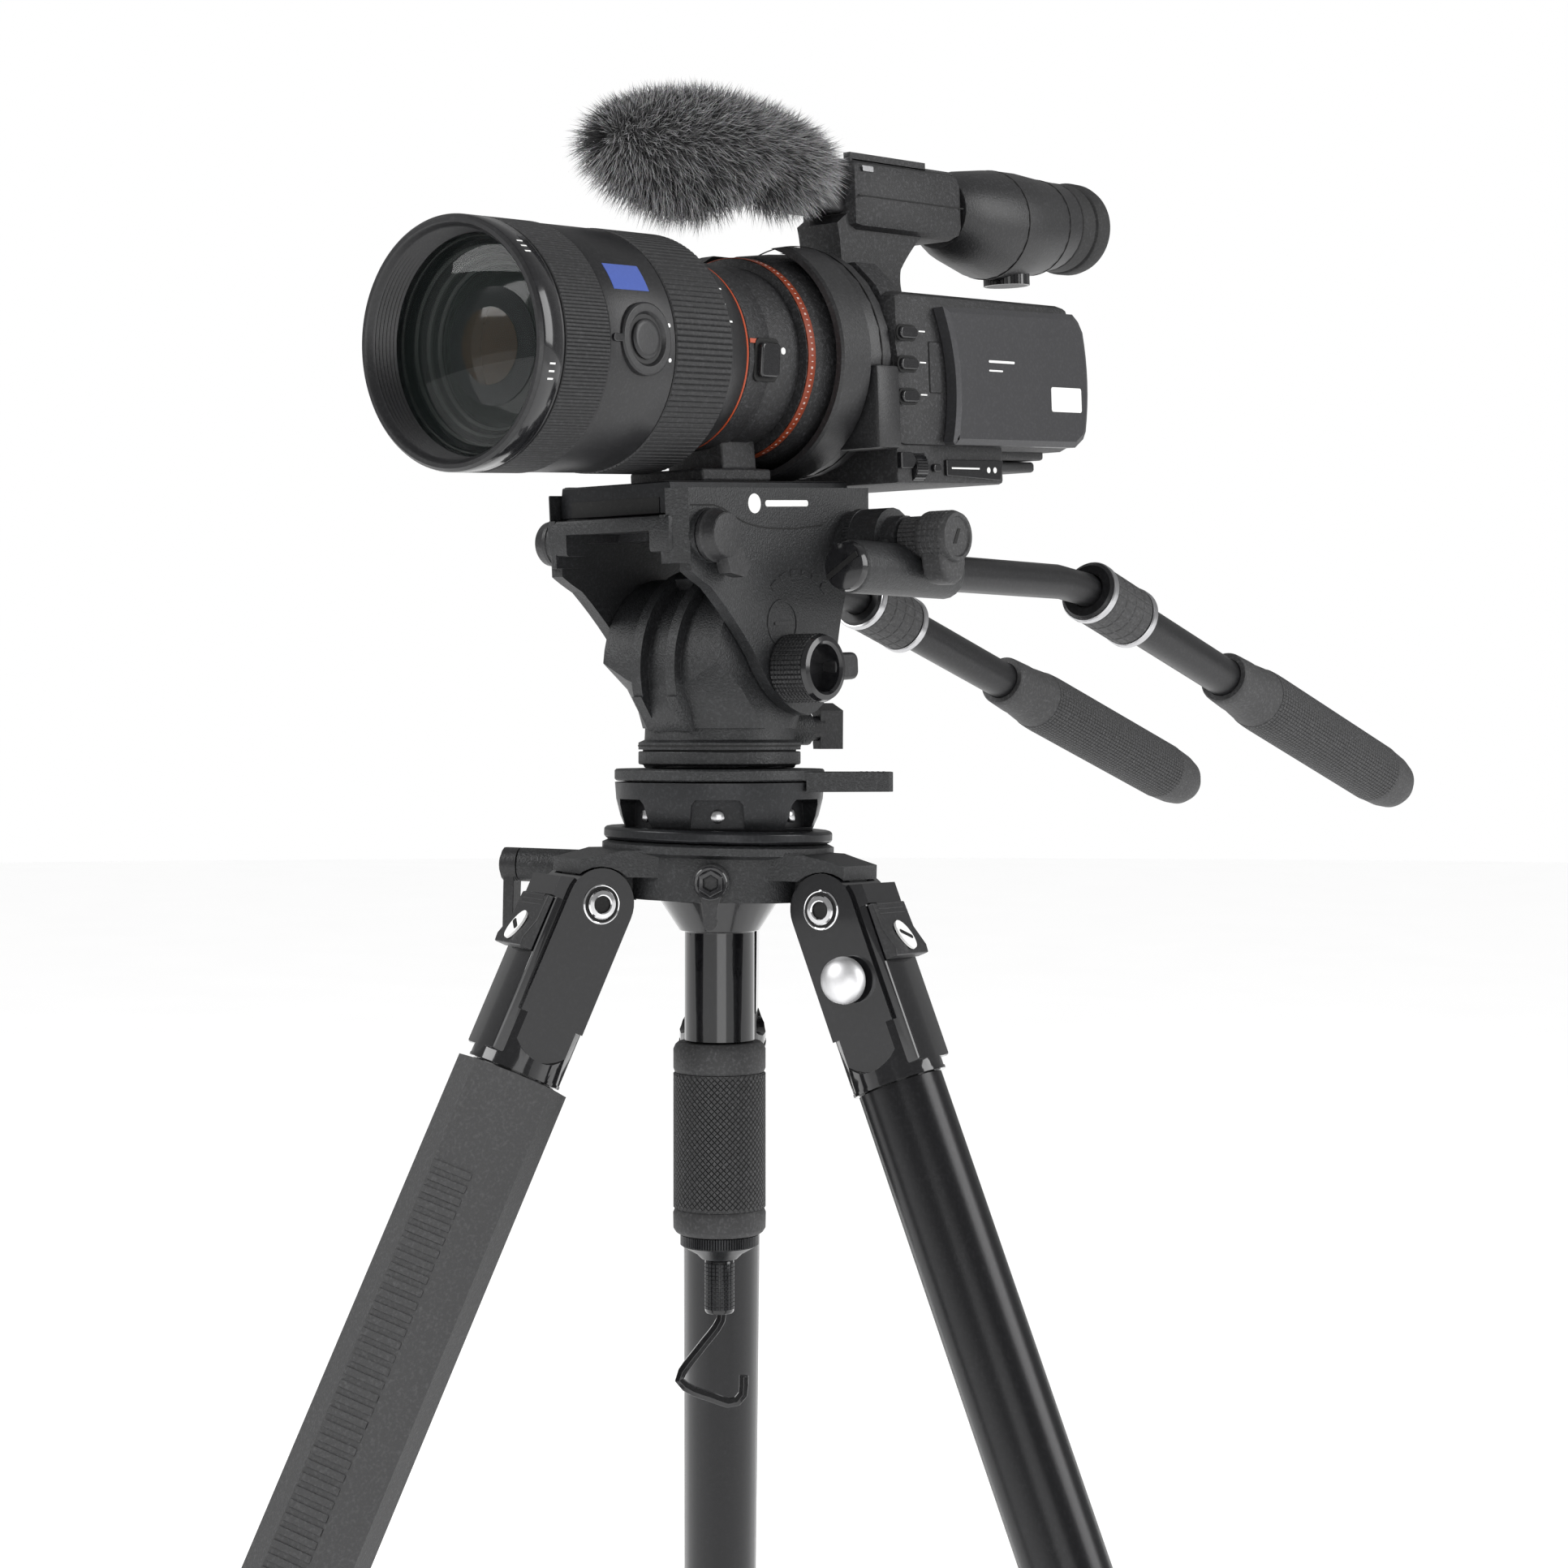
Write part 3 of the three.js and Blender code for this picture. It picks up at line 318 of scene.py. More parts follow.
mouth = [(0, -100), (23, -100), (23, -104)]
for step in range(5):
    mouth += [(24 + step * 2.6, -104 - step * 3.6), (24 + step * 2.6, -107.6 - step * 3.6)]
mouth += [(36.2, -122), (36.2, -123.6)]
for thread in range(7):
    mouth += [(36.2 + thread * 0.14, -124 - thread * 1.5), (36.9 + thread * 0.14, -124.7 - thread * 1.5)]
mouth += [(38.2, -135.4), (38.8, FRONT_EDGE), (40.1, FRONT_EDGE), (BARREL_R, -135)]
barrel = mouth + [(BARREL_R, -125.6), (40.6, -125.2), (38.4, -125.2), (38.4, -103.8), (40.7, -103.8),
    (BARREL_R, -103.4), (BARREL_R, -72), (40.7, -71.7), (38.4, -71.7), (38.4, -41.8), (39.2, -41.8),
    (39.1, -38.4), (34.4, -27.4), (33.5, LENS_END), (0, LENS_END)]
lens_tube = fitted("lens_tube", spun(barrel, 128), lens_at, lens_black)
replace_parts(lens_tube, "lens_barrel")
rim = [(BARREL_R + 0.05, -135), (BARREL_R + 0.05, -126.4), (BARREL_R + 0.35, -126.8),
    (BARREL_R + 0.35, -134.4)]
fitted("filter_ring", spun(rim, 128, True), lens_at, gloss_ring)
fitted("lens_orange_line", spun([(33.3, -26.2), (34.15, -26.2), (33.95, -25.1), (33.3, -25.1)], 128, True),
       lens_at, orange_print)

# ---------------------------------------------------------------- lens glass
# Clear front element and three coated groups behind it, green, grey and warm amber, with
# blackened retaining rings stepped round them.


def optic(name, tint, roughness=0.02):
    material = bpy.data.materials.new(name)
    material.use_nodes = True
    nodes, links = material.node_tree.nodes, material.node_tree.links
    shader = nodes["Principled BSDF"]
    set_values(shader, Alpha=0.3, Roughness=roughness, IOR=1.6)
    haze = nodes.new("ShaderNodeTexNoise")
    haze.inputs["Scale"].default_value = 30
    shade = nodes.new("ShaderNodeMix")
    shade.data_type = "RGBA"
    set_values(shade, A=(*tint, 1), B=(*(c * 0.93 for c in tint), 1))
    links.new(haze.outputs["Fac"], shade.inputs["Factor"])
    links.new(shade.outputs["Result"], shader.inputs["Base Color"])
    return material


def coating(name, color):
    """Dark glass behind the front element, with a hard clear coat."""
    material = coated(name, color, 0.12, dust=1.05, drift=0.0, grain=200, depth=0.0, coat=1.0)
    material.node_tree.nodes["Principled BSDF"].inputs["Coat Roughness"].default_value = 0.03
    return material


def dome(radius, front, rise, back):
    """A lens element: domed towards the subject, flat behind."""
    curve = [(0, back), (radius, back)]
    curve += [(radius * (1 - i / 12), front - rise * (1 - (1 - i / 12) ** 2)) for i in range(13)]
    return spun(curve, 96)


front_glass = made("front_element", dome(36.1, -124.2, 5, -123.4), lens_at, "camera",
    optic("front_optic", (0.01, 0.014, 0.013), 0.02))
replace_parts(front_glass, "front_glass")
made("inner_element", dome(26.6, -112.4, 6, -106), lens_at, "camera",
     coating("green_coating", (0.01, 0.014, 0.012)))
made("middle_element", dome(19.4, -116, 1.8, -110), lens_at, "camera",
     coating("grey_coating", (0.016, 0.017, 0.019)))
made("rear_element", dome(12.6, -117.4, 1.6, -112), lens_at, "camera",
     coating("amber_coating", (0.06, 0.036, 0.018)))
retaining_black = coated("retaining_black", (0.04, 0.046, 0.042), 0.3, dust=1.0, drift=0.0, grain=400,
    depth=0.0)
for index, (radius, height) in enumerate(((35.4, -121.6), (32.8, -118.4), (30, -115.4), (27.6, -112.8))):
    ring_shape = [(radius - 0.9, height), (radius, height - 0.7), (radius + 0.4, height + 1),
        (radius - 0.9, height + 1)]
    fitted(f"retaining_ring_{index + 1}", spun(ring_shape, 96, True), lens_at, retaining_black)

# ---------------------------------------------------------------- focus and zoom rings
# Two rubber-covered rings that turn on the barrel. The rubber is moulded with close ribs
# along the lens; the front ring's ribs are finer.
rubber_rib = coated("rubber_rib", (0.017, 0.017, 0.018), 0.62, dust=2.2, grain=1600, depth=0.2)


def ribbed_tube(inner, outer, low, high, ribs, gap, height, rows=1, ends=0.0):
    """A tube whose outer faces stand out one by one; gap is the flat left round each."""
    heights = [low + (high - low) * row / rows for row in range(rows + 1)]
    profile = [(inner, low), (outer - ends, low)] if ends else [(inner, low)]
    profile += [(outer, value) for value in heights]
    profile += [(outer - ends, high), (inner, high)] if ends else [(inner, high)]
    bm = spun(profile, ribs, True)
    pads = [face for face in bm.faces if all(abs(math.hypot(v.co.x, v.co.y) - outer) < 1e-3
        for v in face.verts)]
    bmesh.ops.inset_individual(bm, faces=pads, thickness=gap, depth=height, use_even_offset=True)
    return bm


focus_rubber = made("focus_ring_rubber", ribbed_tube(38.7, 41, -124.9, -104.1, 210, 0.28, 0.35), lens_at,
    "focus_ring", rubber_rib)
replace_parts(focus_rubber, "focus_ring")
zoom_rubber = made("zoom_ring_rubber", ribbed_tube(38.7, 40.8, -71.3, -42.2, 128, 0.42, 0.5), lens_at,
    "zoom_ring", rubber_rib)
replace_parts(zoom_rubber, "zoom_ring")

# ---------------------------------------------------------------- marks and button on the barrel
# A plain blue patch let into the top, a round hold button in a raised ring on the user's
# side, and painted ticks. They are printed or clipped into the barrel.


def disc(radius, low, high, steps):
    """A plain disc round Z."""
    return spun([(0, low), (radius, low), (radius, high), (0, high)], steps)


def plate(points, thickness):
    """A flat plate from its outline in X and Y, from z = 0 up."""
    bm = bmesh.new()
    face = bm.faces.new([bm.verts.new((x, y, 0)) for x, y in points])
    grown = bmesh.ops.extrude_face_region(bm, geom=[face])
    top = [item for item in grown["geom"] if isinstance(item, bmesh.types.BMVert)]
    bmesh.ops.translate(bm, verts=top, vec=(0, 0, thickness))
    bmesh.ops.recalc_face_normals(bm, faces=bm.faces)
    return bm


def rounded(width, height, radius, corner=5):
    """The outline of a rectangle with round corners, centred on the origin."""
    points = []
    for quarter, (sx, sy) in enumerate(((1, 1), (-1, 1), (-1, -1), (1, -1))):
        for i in range(corner + 1):
            angle = math.radians(90 * quarter + 90 * i / corner)
            x = sx * (width / 2 - radius) + radius * math.cos(angle)
            y = sy * (height / 2 - radius) + radius * math.sin(angle)
            points.append((x, y))
    return points


def on_barrel(radius, clock, along):
    """A place on the lens surface: Z points outwards, X runs back, clock 0 is +X and 90 is up."""
    foot = turned(lens_at, -clock) @ Matrix.Translation((radius, 0, along))
    return turned(turned(foot, 90, "Y"), 180)


def wrapped_patch(radius, low, high, clock, sweep, thickness, steps=12):
    """A thin patch that lies round the barrel."""
    bm = bmesh.new()
    corners = [(radius, low), (radius, high), (radius + thickness, high), (radius + thickness, low)]
    start = math.radians(-clock - sweep / 2)
    section = [bm.verts.new((r * math.cos(start), r * math.sin(start), z)) for r, z in corners]
    face = bm.faces.new(section)
    bmesh.ops.spin(bm, geom=[face], cent=(0, 0, 0), axis=(0, 0, 1), dvec=(0, 0, 0),
        angle=math.radians(sweep), steps=steps, use_merge=False, use_duplicate=False)
    bmesh.ops.recalc_face_normals(bm, faces=bm.faces)
    return bm


fitted("blue_patch", wrapped_patch(40.9, -97.5, -80.5, 30, 14, 0.25), lens_at, blue_plate)
button_at = on_barrel(BARREL_R - 1.4, 0, -87)
fitted("hold_button_ring", spun([(8, 0), (12, 0), (12, 2.2), (11.4, 2.7), (9, 2.7), (8, 1.4)], 48, True),
       button_at, lens_black, 0.2)
fitted("hold_button", spun([(0, 0), (6.6, 0), (6.6, 2.2), (6, 2.7), (4.8, 2.8), (0, 2.5)], 48), button_at,
       lens_black)
# Painted shade at the floor of the gap between the button and its ring.
fitted("button_floor", disc(8.6, 0, 1.5, 48), button_at, button_gap_shade)
fitted("focus_switch", plate(rounded(7, 2.6, 1.2), 3.4), on_barrel(BARREL_R - 2.4, 0, -104.4 + 4.8),
       gloss_ring, 0.25)
for index, clock in enumerate((7, -9)):
    fitted(f"barrel_dot_{index + 1}", disc(0.7, 0, 0.12, 20), on_barrel(BARREL_R - 0.02, clock, -74.5),
           white_print)
ZOOM_TICKS = 9
TICK_FOOT = -41.2
for tick in range(ZOOM_TICKS):
    clock = 12 + tick * 9
    head = TICK_FOOT + (2.56 if tick % 2 == 0 else 1.44)
    fitted(f"zoom_tick_{tick + 1}", wrapped_patch(39.05, TICK_FOOT, head, clock, 0.9, 0.12, 2), lens_at,
           white_print)
for index, clock in enumerate((-20, 40, 120)):
    for tick in range(3):
        fitted(f"rim_tick_{index + 1}_{tick + 1}", wrapped_patch(BARREL_R + 0.34, -132, -129.5,
               clock + tick * 3.4, 0.8, 0.06, 2), lens_at, white_print)

# ---------------------------------------------------------------- mount adapter
# Cast tube between the lens and the camcorder, painted in a fine speckled black, with a
# foot below it, a release button sunk in its side and a white index dot.
speckled = coated("speckled_black", (0.014, 0.014, 0.015), 0.5, dust=3.4, grain=2200, depth=0.45)
# Near-black finish: on seams and part lines it is a dark joint; in pockets, wells, vents, grooves, slots,
# gaps and screw sockets it is painted shade.
seam_and_recess_shade = coated("seam_and_recess_shade", (0.003, 0.003, 0.003), 0.7, grain=1500, depth=0.05)
satin_metal = coated("satin_metal", (0.5, 0.5, 0.51), 0.3, metallic=1.0, dust=0.9, grain=900, depth=0.05)


def dressed(node, finish, width=0.3, segments=2):
    """Gives a carried-over part its finish, welds its faces and rounds its edges a little."""
    shape = frame["nodes"][node]
    mesh = shape.data
    if "custom_normal" in mesh.attributes:
        mesh.attributes.remove(mesh.attributes["custom_normal"])
    mesh.materials.clear()
    mesh.materials.append(finish)
    mesh.shade_smooth()
    weld = shape.modifiers.new("weld", "WELD")
    weld.merge_threshold = 2e-6
    flat = shape.modifiers.new("flat", "DECIMATE")
    flat.decimate_type = "DISSOLVE"
    flat.angle_limit = math.radians(0.4)
    round_edges(shape, width, segments, 32)
    return shape


def ring(inner, outer, low, high, steps):
    """A ring round Z with a plain rectangular section."""
    return spun([(inner, low), (outer, low), (outer, high), (inner, high)], steps, True)


def box(low, high):
    """A box from its two corners, in millimetres."""
    bm = bmesh.new()
    bmesh.ops.create_cube(bm, size=1)
    size = [b - a for a, b in zip(low, high)]
    middle = [(a + b) / 2 for a, b in zip(low, high)]
    bmesh.ops.scale(bm, verts=bm.verts, vec=size)
    bmesh.ops.translate(bm, verts=bm.verts, vec=middle)
    return bm


ADAPTER_R = 33.2
adapter = spun([(0, -24), (32.2, -24), (ADAPTER_R, -23.4), (ADAPTER_R, -12.5), (32.9, -12.1), (32.7, -11.6),
    (32.7, -11.2), (32.9, -10.8), (33.0, -1.5), (32.6, -1), (32.6, 4.6), (0, 4.6)], 96)
adapter_tube = fitted("adapter_tube", adapter, lens_at, speckled)
adapter_foot = plate([(-12, -21), (12, -21), (13, -40), (16.5, -41), (17, -44.6), (-17, -44.6),
    (-16.5, -41), (-13, -40)], 19)
fitted("adapter_foot", adapter_foot, shifted(axes_at(camera_at @ Vector((0, -17, 0)), -lens_axis, across),
       z=-20), speckled, 1.2, 3)
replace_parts(adapter_tube, "mount_adapter")
fitted("adapter_shoe", box((-17, -32, -44.6), (17, 6, -40)), camera_at, speckled, 1.2, 3)
release_at = on_barrel(ADAPTER_R - 2.2, -6, -14.5)
# The near-black pocket round the release button is painted shade in its recess.
fitted("release_pocket", plate(rounded(13, 15, 2.4), 2.5), release_at, seam_and_recess_shade, 0.4)
fitted("lens_release_button", plate(rounded(10.4, 12, 1.8), 4.6), release_at, gloss_ring, 0.9, 3)
fitted("release_dot", spun([(0, 0), (1.2, 0), (1.2, 0.4), (0, 0.5)], 24), on_barrel(32.8, 0, -5),
       white_print)
fitted("lens_index_mark", wrapped_patch(33.35, -23.5, -19.5, 5, 2.6, 0.3, 3), lens_at, orange_print)

# ---------------------------------------------------------------- camcorder body
# Two moulded half shells in speckled black around the mount, with a stepped recess, an
# orange-red print ring in it, buttons for the left thumb and a small door between them.
PRINT_TICKS = 42
dressed("camera_body", speckled, 0.5, 3)
dressed("battery", coated("battery_black", (0.012, 0.012, 0.013), 0.5, grain=1200, depth=0.2), 0.5)
dressed("control_dial", gloss_ring, 0.2)
ring_orange = coated("ring_orange", (0.2, 0.032, 0.01), 0.4, dust=0.9, grain=2000, depth=0.03)
fitted("print_ring", ring(36.05, 36.3, 5.4, 9.4, 96), lens_at, ring_orange)
print_pale = coated("print_pale", (0.5, 0.4, 0.37), 0.5, dust=0.95, grain=2000, depth=0.03)
for tick in range(PRINT_TICKS):
    fitted(f"print_tick_{tick + 1}", wrapped_patch(36.28, 7, 8, -70 + tick * 3.4, 0.5 if tick % 3 else 1.2,
           0.06, 2), lens_at, print_pale)
side_at = left_side(camera_at, 44.3, 0, 0)
# The near-black wells round the side buttons are painted shade in their recesses.
for index, height in enumerate((8, -3.3, -15)):
    fitted(f"side_button_well_{index + 1}", plate(rounded(12.5, 6, 2.9), 0.55),
           shifted(side_at, 52.6, height, 0), seam_and_recess_shade, 0.2)
    fitted(f"side_button_{index + 1}", plate(rounded(10.6, 4.2, 2.05), 1.9),
           shifted(side_at, 52.6, height, 0), gloss_ring, 0.8, 3)
    fitted(f"side_button_mark_{index + 1}", plate(rounded(3.8, 0.5, 0.2), 0.32),
           shifted(side_at, 62, height + 0.8, 0.2), white_print)
fitted("socket_door_line", plate(rounded(7.6, 19, 1), 0.3), shifted(side_at, 69.6, -4, 0.12), seam_and_recess_shade)
fitted("socket_door", plate(rounded(7, 18.4, 0.9), 0.55), shifted(side_at, 69.6, -4, 0.12), speckled, 0.2)
for index, low in enumerate((64, 112)):
    fitted(f"roof_seam_{index + 1}", box((-39, low, 23.35), (39, low + 0.5, 23.62)), camera_at, seam_and_recess_shade)
ROOF_VENTS = 7
# The near-black vent slots are painted shade inside them.
for vent in range(ROOF_VENTS):
    fitted(f"roof_vent_{vent + 1}", box((-34, 74 + vent * 3, 23.3), (-18, 75.4 + vent * 3, 23.65)),
           camera_at, seam_and_recess_shade)

# controls below the screen: mode button, ribbed dial, small button and a blank name plate
base_at = left_side(camera_at, 42, 0, 0)
fitted("mode_button", plate([(0, -3), (7, -3), (10, 0), (7, 3), (0, 3)], 2.2),
       shifted(base_at, 48, -38, -0.4), gloss_ring, 0.5)
made("dial_rim", ribbed_tube(1.2, 5.7, -3.4, 3.4, 36, 0.12, 0.35),
     axes_at(camera_at @ Vector((38.5, 60.5, -40.2)), lens_axis, across), "control_dial",
     gloss_ring)
fitted("focus_button", plate(rounded(4.6, 3, 1.4), 1.8), shifted(base_at, 70.8, -40.6, -0.2), gloss_ring,
       0.5)
fitted("name_plate", plate([(77, -37.5), (114, -37.5), (112, -45), (77, -43.4)], 1.2), base_at, gloss_ring,
       0.3)
fitted("name_plate_line", plate([(80, -40.3), (98, -40.4), (98, -41), (80, -40.9)], 1.28), base_at,
       white_print)
for index in range(2):
    fitted(f"name_plate_dot_{index + 1}", disc(1.1, 1.2, 1.3, 24),
           shifted(base_at, 104 + index * 4.2, -41.2, 0), white_print)

# ---------------------------------------------------------------- mount shroud
# Moulded hood round the lens mount: a ring with a flat crown, a ledge low on the left side,
# a seam along its middle and a wider lip in front.
satin_moulding = coated("satin_moulding", (0.013, 0.013, 0.014), 0.42, dust=2, grain=1400, depth=0.18)
dressed("mount_shroud", satin_moulding, 0.7, 3)
hood = spun([(41.2, 15), (43.4, 15), (44.2, 16), (44.2, 31.4), (42.4, 32), (41.2, 32)], 96, True)
cut_off = bmesh.ops.bisect_plane(hood, geom=hood.verts[:] + hood.edges[:] + hood.faces[:],
    plane_co=(0, -39, 0), plane_no=(0, -1, 0), clear_outer=True)
bmesh.ops.edgenet_fill(hood, edges=[item for item in cut_off["geom_cut"]
    if isinstance(item, bmesh.types.BMEdge)])
fitted("shroud_hood", hood, lens_at, satin_moulding, 0.3)
fitted("shroud_seam", ring(42.4, 42.75, 40, 40.5, 96), lens_at, seam_and_recess_shade)

# ---------------------------------------------------------------- screen door
# Satin plate hinged at its front edge, closed against the body. The front edge is bowed and
# the rim chamfered; a blank white label is stuck low at the rear.
DOOR_THICK = 4.8
panel_satin = coated("panel_satin", (0.045, 0.045, 0.048), 0.3, metallic=0.35, dust=1.3, drift=0.06,
    grain=2600, depth=0.05)


def door_outline():
    """The door's outline from the top of its bowed front edge, down and round the back."""
    points = []
    for i in range(17):
        t = i / 16
        x = (1 - t) ** 2 * 69.3 + 2 * t * (1 - t) * 81 + t * t * 73
        y = (1 - t) ** 2 * 17.8 - 2 * t * (1 - t) * 6 - t * t * 31.4
        points.append((x, y))
    points += [(74.2, -32.4), (155, -32.4), (161, -29)]
    points += [(165.4 - 2.4 * ((i - 4) / 4) ** 2, -26 + i * 4.8) for i in range(9)]
    points += [(160, 16.5), (156, 19.2)]
    return points


door = plate(door_outline(), DOOR_THICK - 0.4)
outer = max(door.faces, key=lambda face: face.calc_center_median().z)
bmesh.ops.inset_region(door, faces=[outer], thickness=2.2, depth=0.0, use_even_offset=True)
bmesh.ops.translate(door, verts=outer.verts, vec=(0, 0, 0.9))
door_at = left_side(camera_at, 44.9, 0, 0)
screen_door = made("screen_door_panel", door, door_at, "screen_door", panel_satin, 0.5, 3)
screen_door.data.set_sharp_from_angle(angle=math.radians(12))
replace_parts(screen_door, "screen_door")
made("door_label", plate(rounded(21, 9.4, 1), 0.25), shifted(door_at, 148.5, -14.2, 5.2), "screen_door",
     white_print)
made("door_mark", plate(rounded(17, 0.9, 0.4), 0.12), shifted(door_at, 105, -1.2, 5.25), "screen_door",
     white_print)
made("door_mark_short", plate(rounded(9, 0.6, 0.3), 0.12), shifted(door_at, 101, -4.6, 5.25), "screen_door",
     white_print)

# ---------------------------------------------------------------- carrying handle
# Hollow moulding on a flared pillar. A metal accessory rail runs along its top, held by
# four screws, and the microphone clips into its front end.
dressed("top_handle", speckled, 1.0, 3)
fitted("handle_side_line", box((13.75, 68, 62), (14.2, 135.4, 62.5)), camera_at, seam_and_recess_shade)
fitted("handle_top_panel", box((-9, 70.5, 75.7), (9, 136.4, 77)), camera_at, satin_moulding, 0.4)
fitted("slider_mark", plate(rounded(6.5, 2.2, 0.5), 0.7), left_side(camera_at, 13.8, 74, 72.4), satin_metal,
       0.2)
for index, place in enumerate((76, 88, 100, 112)):
    fitted(f"rail_screw_{index + 1}", spun([(0, 76.6), (1.8, 76.6), (1.8, 77.3), (1.2, 77.7), (0.8, 77.3),
           (0, 77.2)], 24), shifted(camera_at, 0, place, 0), satin_metal)

# ---------------------------------------------------------------- viewfinder
# Swelling tube on a hinge at the end of the handle, with a seam, an end ring, a dioptre
# dial underneath and a soft rubber eyecup.
soft_rubber = coated("soft_rubber", (0.014, 0.014, 0.0145), 0.72, dust=2, grain=900, depth=0.2)
dressed("viewfinder", satin_moulding, 0.3)
finder_at = shifted(lens_at, 0, -62.6, 0)
FINDER_START = 137.6
FINDER_LENGTH = 78
cup_at = shifted(finder_at, z=FINDER_START + FINDER_LENGTH)
cup = spun([(13, 0.3), (17.6, 0.3), (18.1, 0.9), (18.1, 9.2), (17.4, 9.8), (17.4, 10.4), (18.5, 11),
    (18.9, 12.4), (18.8, 18), (18, 20.8), (16.6, 21.8), (14.4, 21.6), (13.2, 19), (12.4, 14), (12, 10),
    (13, 6)], 64, True)
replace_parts(made("eyecup_rubber", cup, cup_at, "viewfinder", soft_rubber, 0.3), "eyecup")
made("eyepiece_glass", dome(11.6, 3.2, 1.2, 3.8), cup_at, "viewfinder",
     coating("eyepiece_coating", (0.02, 0.018, 0.03)))
for index, (low, radius) in enumerate(((170.6, 21.7), (203.6, 19.5))):
    made(f"finder_seam_{index + 1}", spun([(radius - 0.6, low), (radius + 0.12, low),
         (radius + 0.1, low + 0.5), (radius - 0.6, low + 0.5)], 64, True),
         shifted(finder_at, y=2.6 * math.sin(math.pi * (low - FINDER_START) / FINDER_LENGTH)), "viewfinder",
         seam_and_recess_shade)
made("dioptre_dial", ribbed_tube(1, 9.1, -7.6, -0.2, 40, 0.12, 0.3),
     axes_at(camera_at @ Vector((0, 184.6, 44)), across.cross(lens_axis), across), "viewfinder",
     gloss_ring)

# ---------------------------------------------------------------- fur windshield
# Long-haired artificial fur over a foam sleeve on the microphone. It is sewn as a bag,
# larger at the front, and held by a black strap round its waist.
FUR_HALF = 56
FUR_HEIGHT = 72
HAIRS = 19000
HAIR_LENGTH = 14
WAIST = 0.62


def fur_radius(t, clock):
    """Radius of the foam under the hair: t runs from the front end to the back, clock 90 degrees is down."""
    bulge = math.sin(math.pi * min(1, max(0, t))) ** 0.5
    down = max(0.0, math.sin(clock))
    up = max(0.0, -math.sin(clock))
    pinch = math.exp(-((t - WAIST) / 0.09) ** 2) * (1 + 10 * down)
    return bulge * (18.6 - 1.5 * t - pinch - 2 * up + down * (1 - t))


def fur_strands(seed):
    """Thin tapering blades rooted on the foam, leaning to the back and clumped a little."""
    rng = random.Random(seed)
    bm = bmesh.new()
    tip_layer = bm.verts.layers.float.new("tip")
    clumps = [(rng.uniform(0, 1), rng.uniform(0, math.tau), rng.uniform(-0.5, 0.5), rng.uniform(-0.5, 0.5))
        for _ in range(420)]
    for _ in range(HAIRS):
        t = rng.uniform(0.005, 0.995)
        clock = rng.uniform(0, math.tau)
        near = min(rng.sample(clumps, 14),
            key=lambda c: (c[0] - t) ** 2 * 16 + (1 - math.cos(c[1] - clock)) * 0.5)
        radius = fur_radius(t, clock)
        slope = (fur_radius(t + 0.01, clock) - fur_radius(t - 0.01, clock)) / 0.02 / (2 * FUR_HALF)
        radial = Vector((math.cos(clock), math.sin(clock), 0))
        along = Vector((0, 0, 1))
        side = along.cross(radial)
        out = (radial - along * slope).normalized()
        root = radial * radius + along * (-FUR_HALF + 2 * FUR_HALF * t)
        apart = 1.1 * math.exp(-((t - WAIST) / 0.12) ** 2) * max(0.0, math.sin(clock))
        apart *= 1 if t > WAIST else -1
        lean = along * (0.5 * (t - 0.42) + near[2] * 0.8 + apart) + side * near[3] * 0.9
        jitter = Vector((rng.gauss(0, 0.16), rng.gauss(0, 0.16), rng.gauss(0, 0.16)))
        way = (out + lean + jitter).normalized()
        top = max(0.0, -math.sin(clock))
        length = HAIR_LENGTH * rng.uniform(0.6, 1.15) * (1 - 0.25 * abs(near[2])) * (1 - 0.2 * top)
        down = max(0.0, math.sin(clock))
        length *= 1 - 0.12 * down - 0.75 * math.exp(-((t - WAIST) / 0.12) ** 2) * down
        width = rng.uniform(0.12, 0.24)
        flat = way.cross(Vector((rng.gauss(0, 1), rng.gauss(0, 1), rng.gauss(0, 1)))).normalized() * width
        droop = Vector((0, 0.2 * length, 0))
        middle = root + way * length * 0.55 + droop * 0.2
        tip = root + way * length + droop * 0.8 + side * near[3] * 1.2
        a, b = bm.verts.new(root - flat), bm.verts.new(root + flat)
        c, d = bm.verts.new(middle + flat * 0.7), bm.verts.new(middle - flat * 0.7)
        e = bm.verts.new(tip)
        c[tip_layer] = d[tip_layer] = 0.5
        e[tip_layer] = 1.0
        bm.faces.new((a, b, c, d))
        bm.faces.new((d, c, e))
    return bm


def fur_finish():
    material = bpy.data.materials.new("grey_fur")
    material.use_nodes = True
    nodes, links = material.node_tree.nodes, material.node_tree.links
    shader = nodes["Principled BSDF"]
    set_values(shader, Roughness=0.6, Sheen_Weight=0.3)
    tip = nodes.new("ShaderNodeAttribute")
    tip.attribute_name = "tip"
    # Colour runs from near black at the roots through dark grey to pale grey at the tips: the pale tips are
    # the fur's own grey, and the near-black roots are painted shade deep in the pile.
    tone = nodes.new("ShaderNodeValToRGB")
    tone.color_ramp.elements[0].color = (0.008, 0.008, 0.009, 1)
    tone.color_ramp.elements[1].color = (0.8, 0.8, 0.81, 1)
    tone.color_ramp.elements.new(0.5).color = (0.06, 0.06, 0.063, 1)
    patches = nodes.new("ShaderNodeTexNoise")
    patches.inputs["Scale"].default_value = 160
    shade = nodes.new("ShaderNodeMix")
    shade.data_type = "RGBA"
    shade.blend_type = "MULTIPLY"
    shade.inputs["Factor"].default_value = 0.6
    links.new(tip.outputs["Fac"], tone.inputs["Fac"])
    links.new(tone.outputs["Color"], shade.inputs["A"])
    links.new(patches.outputs["Color"], shade.inputs["B"])
    links.new(shade.outputs["Result"], shader.inputs["Base Color"])
    return material


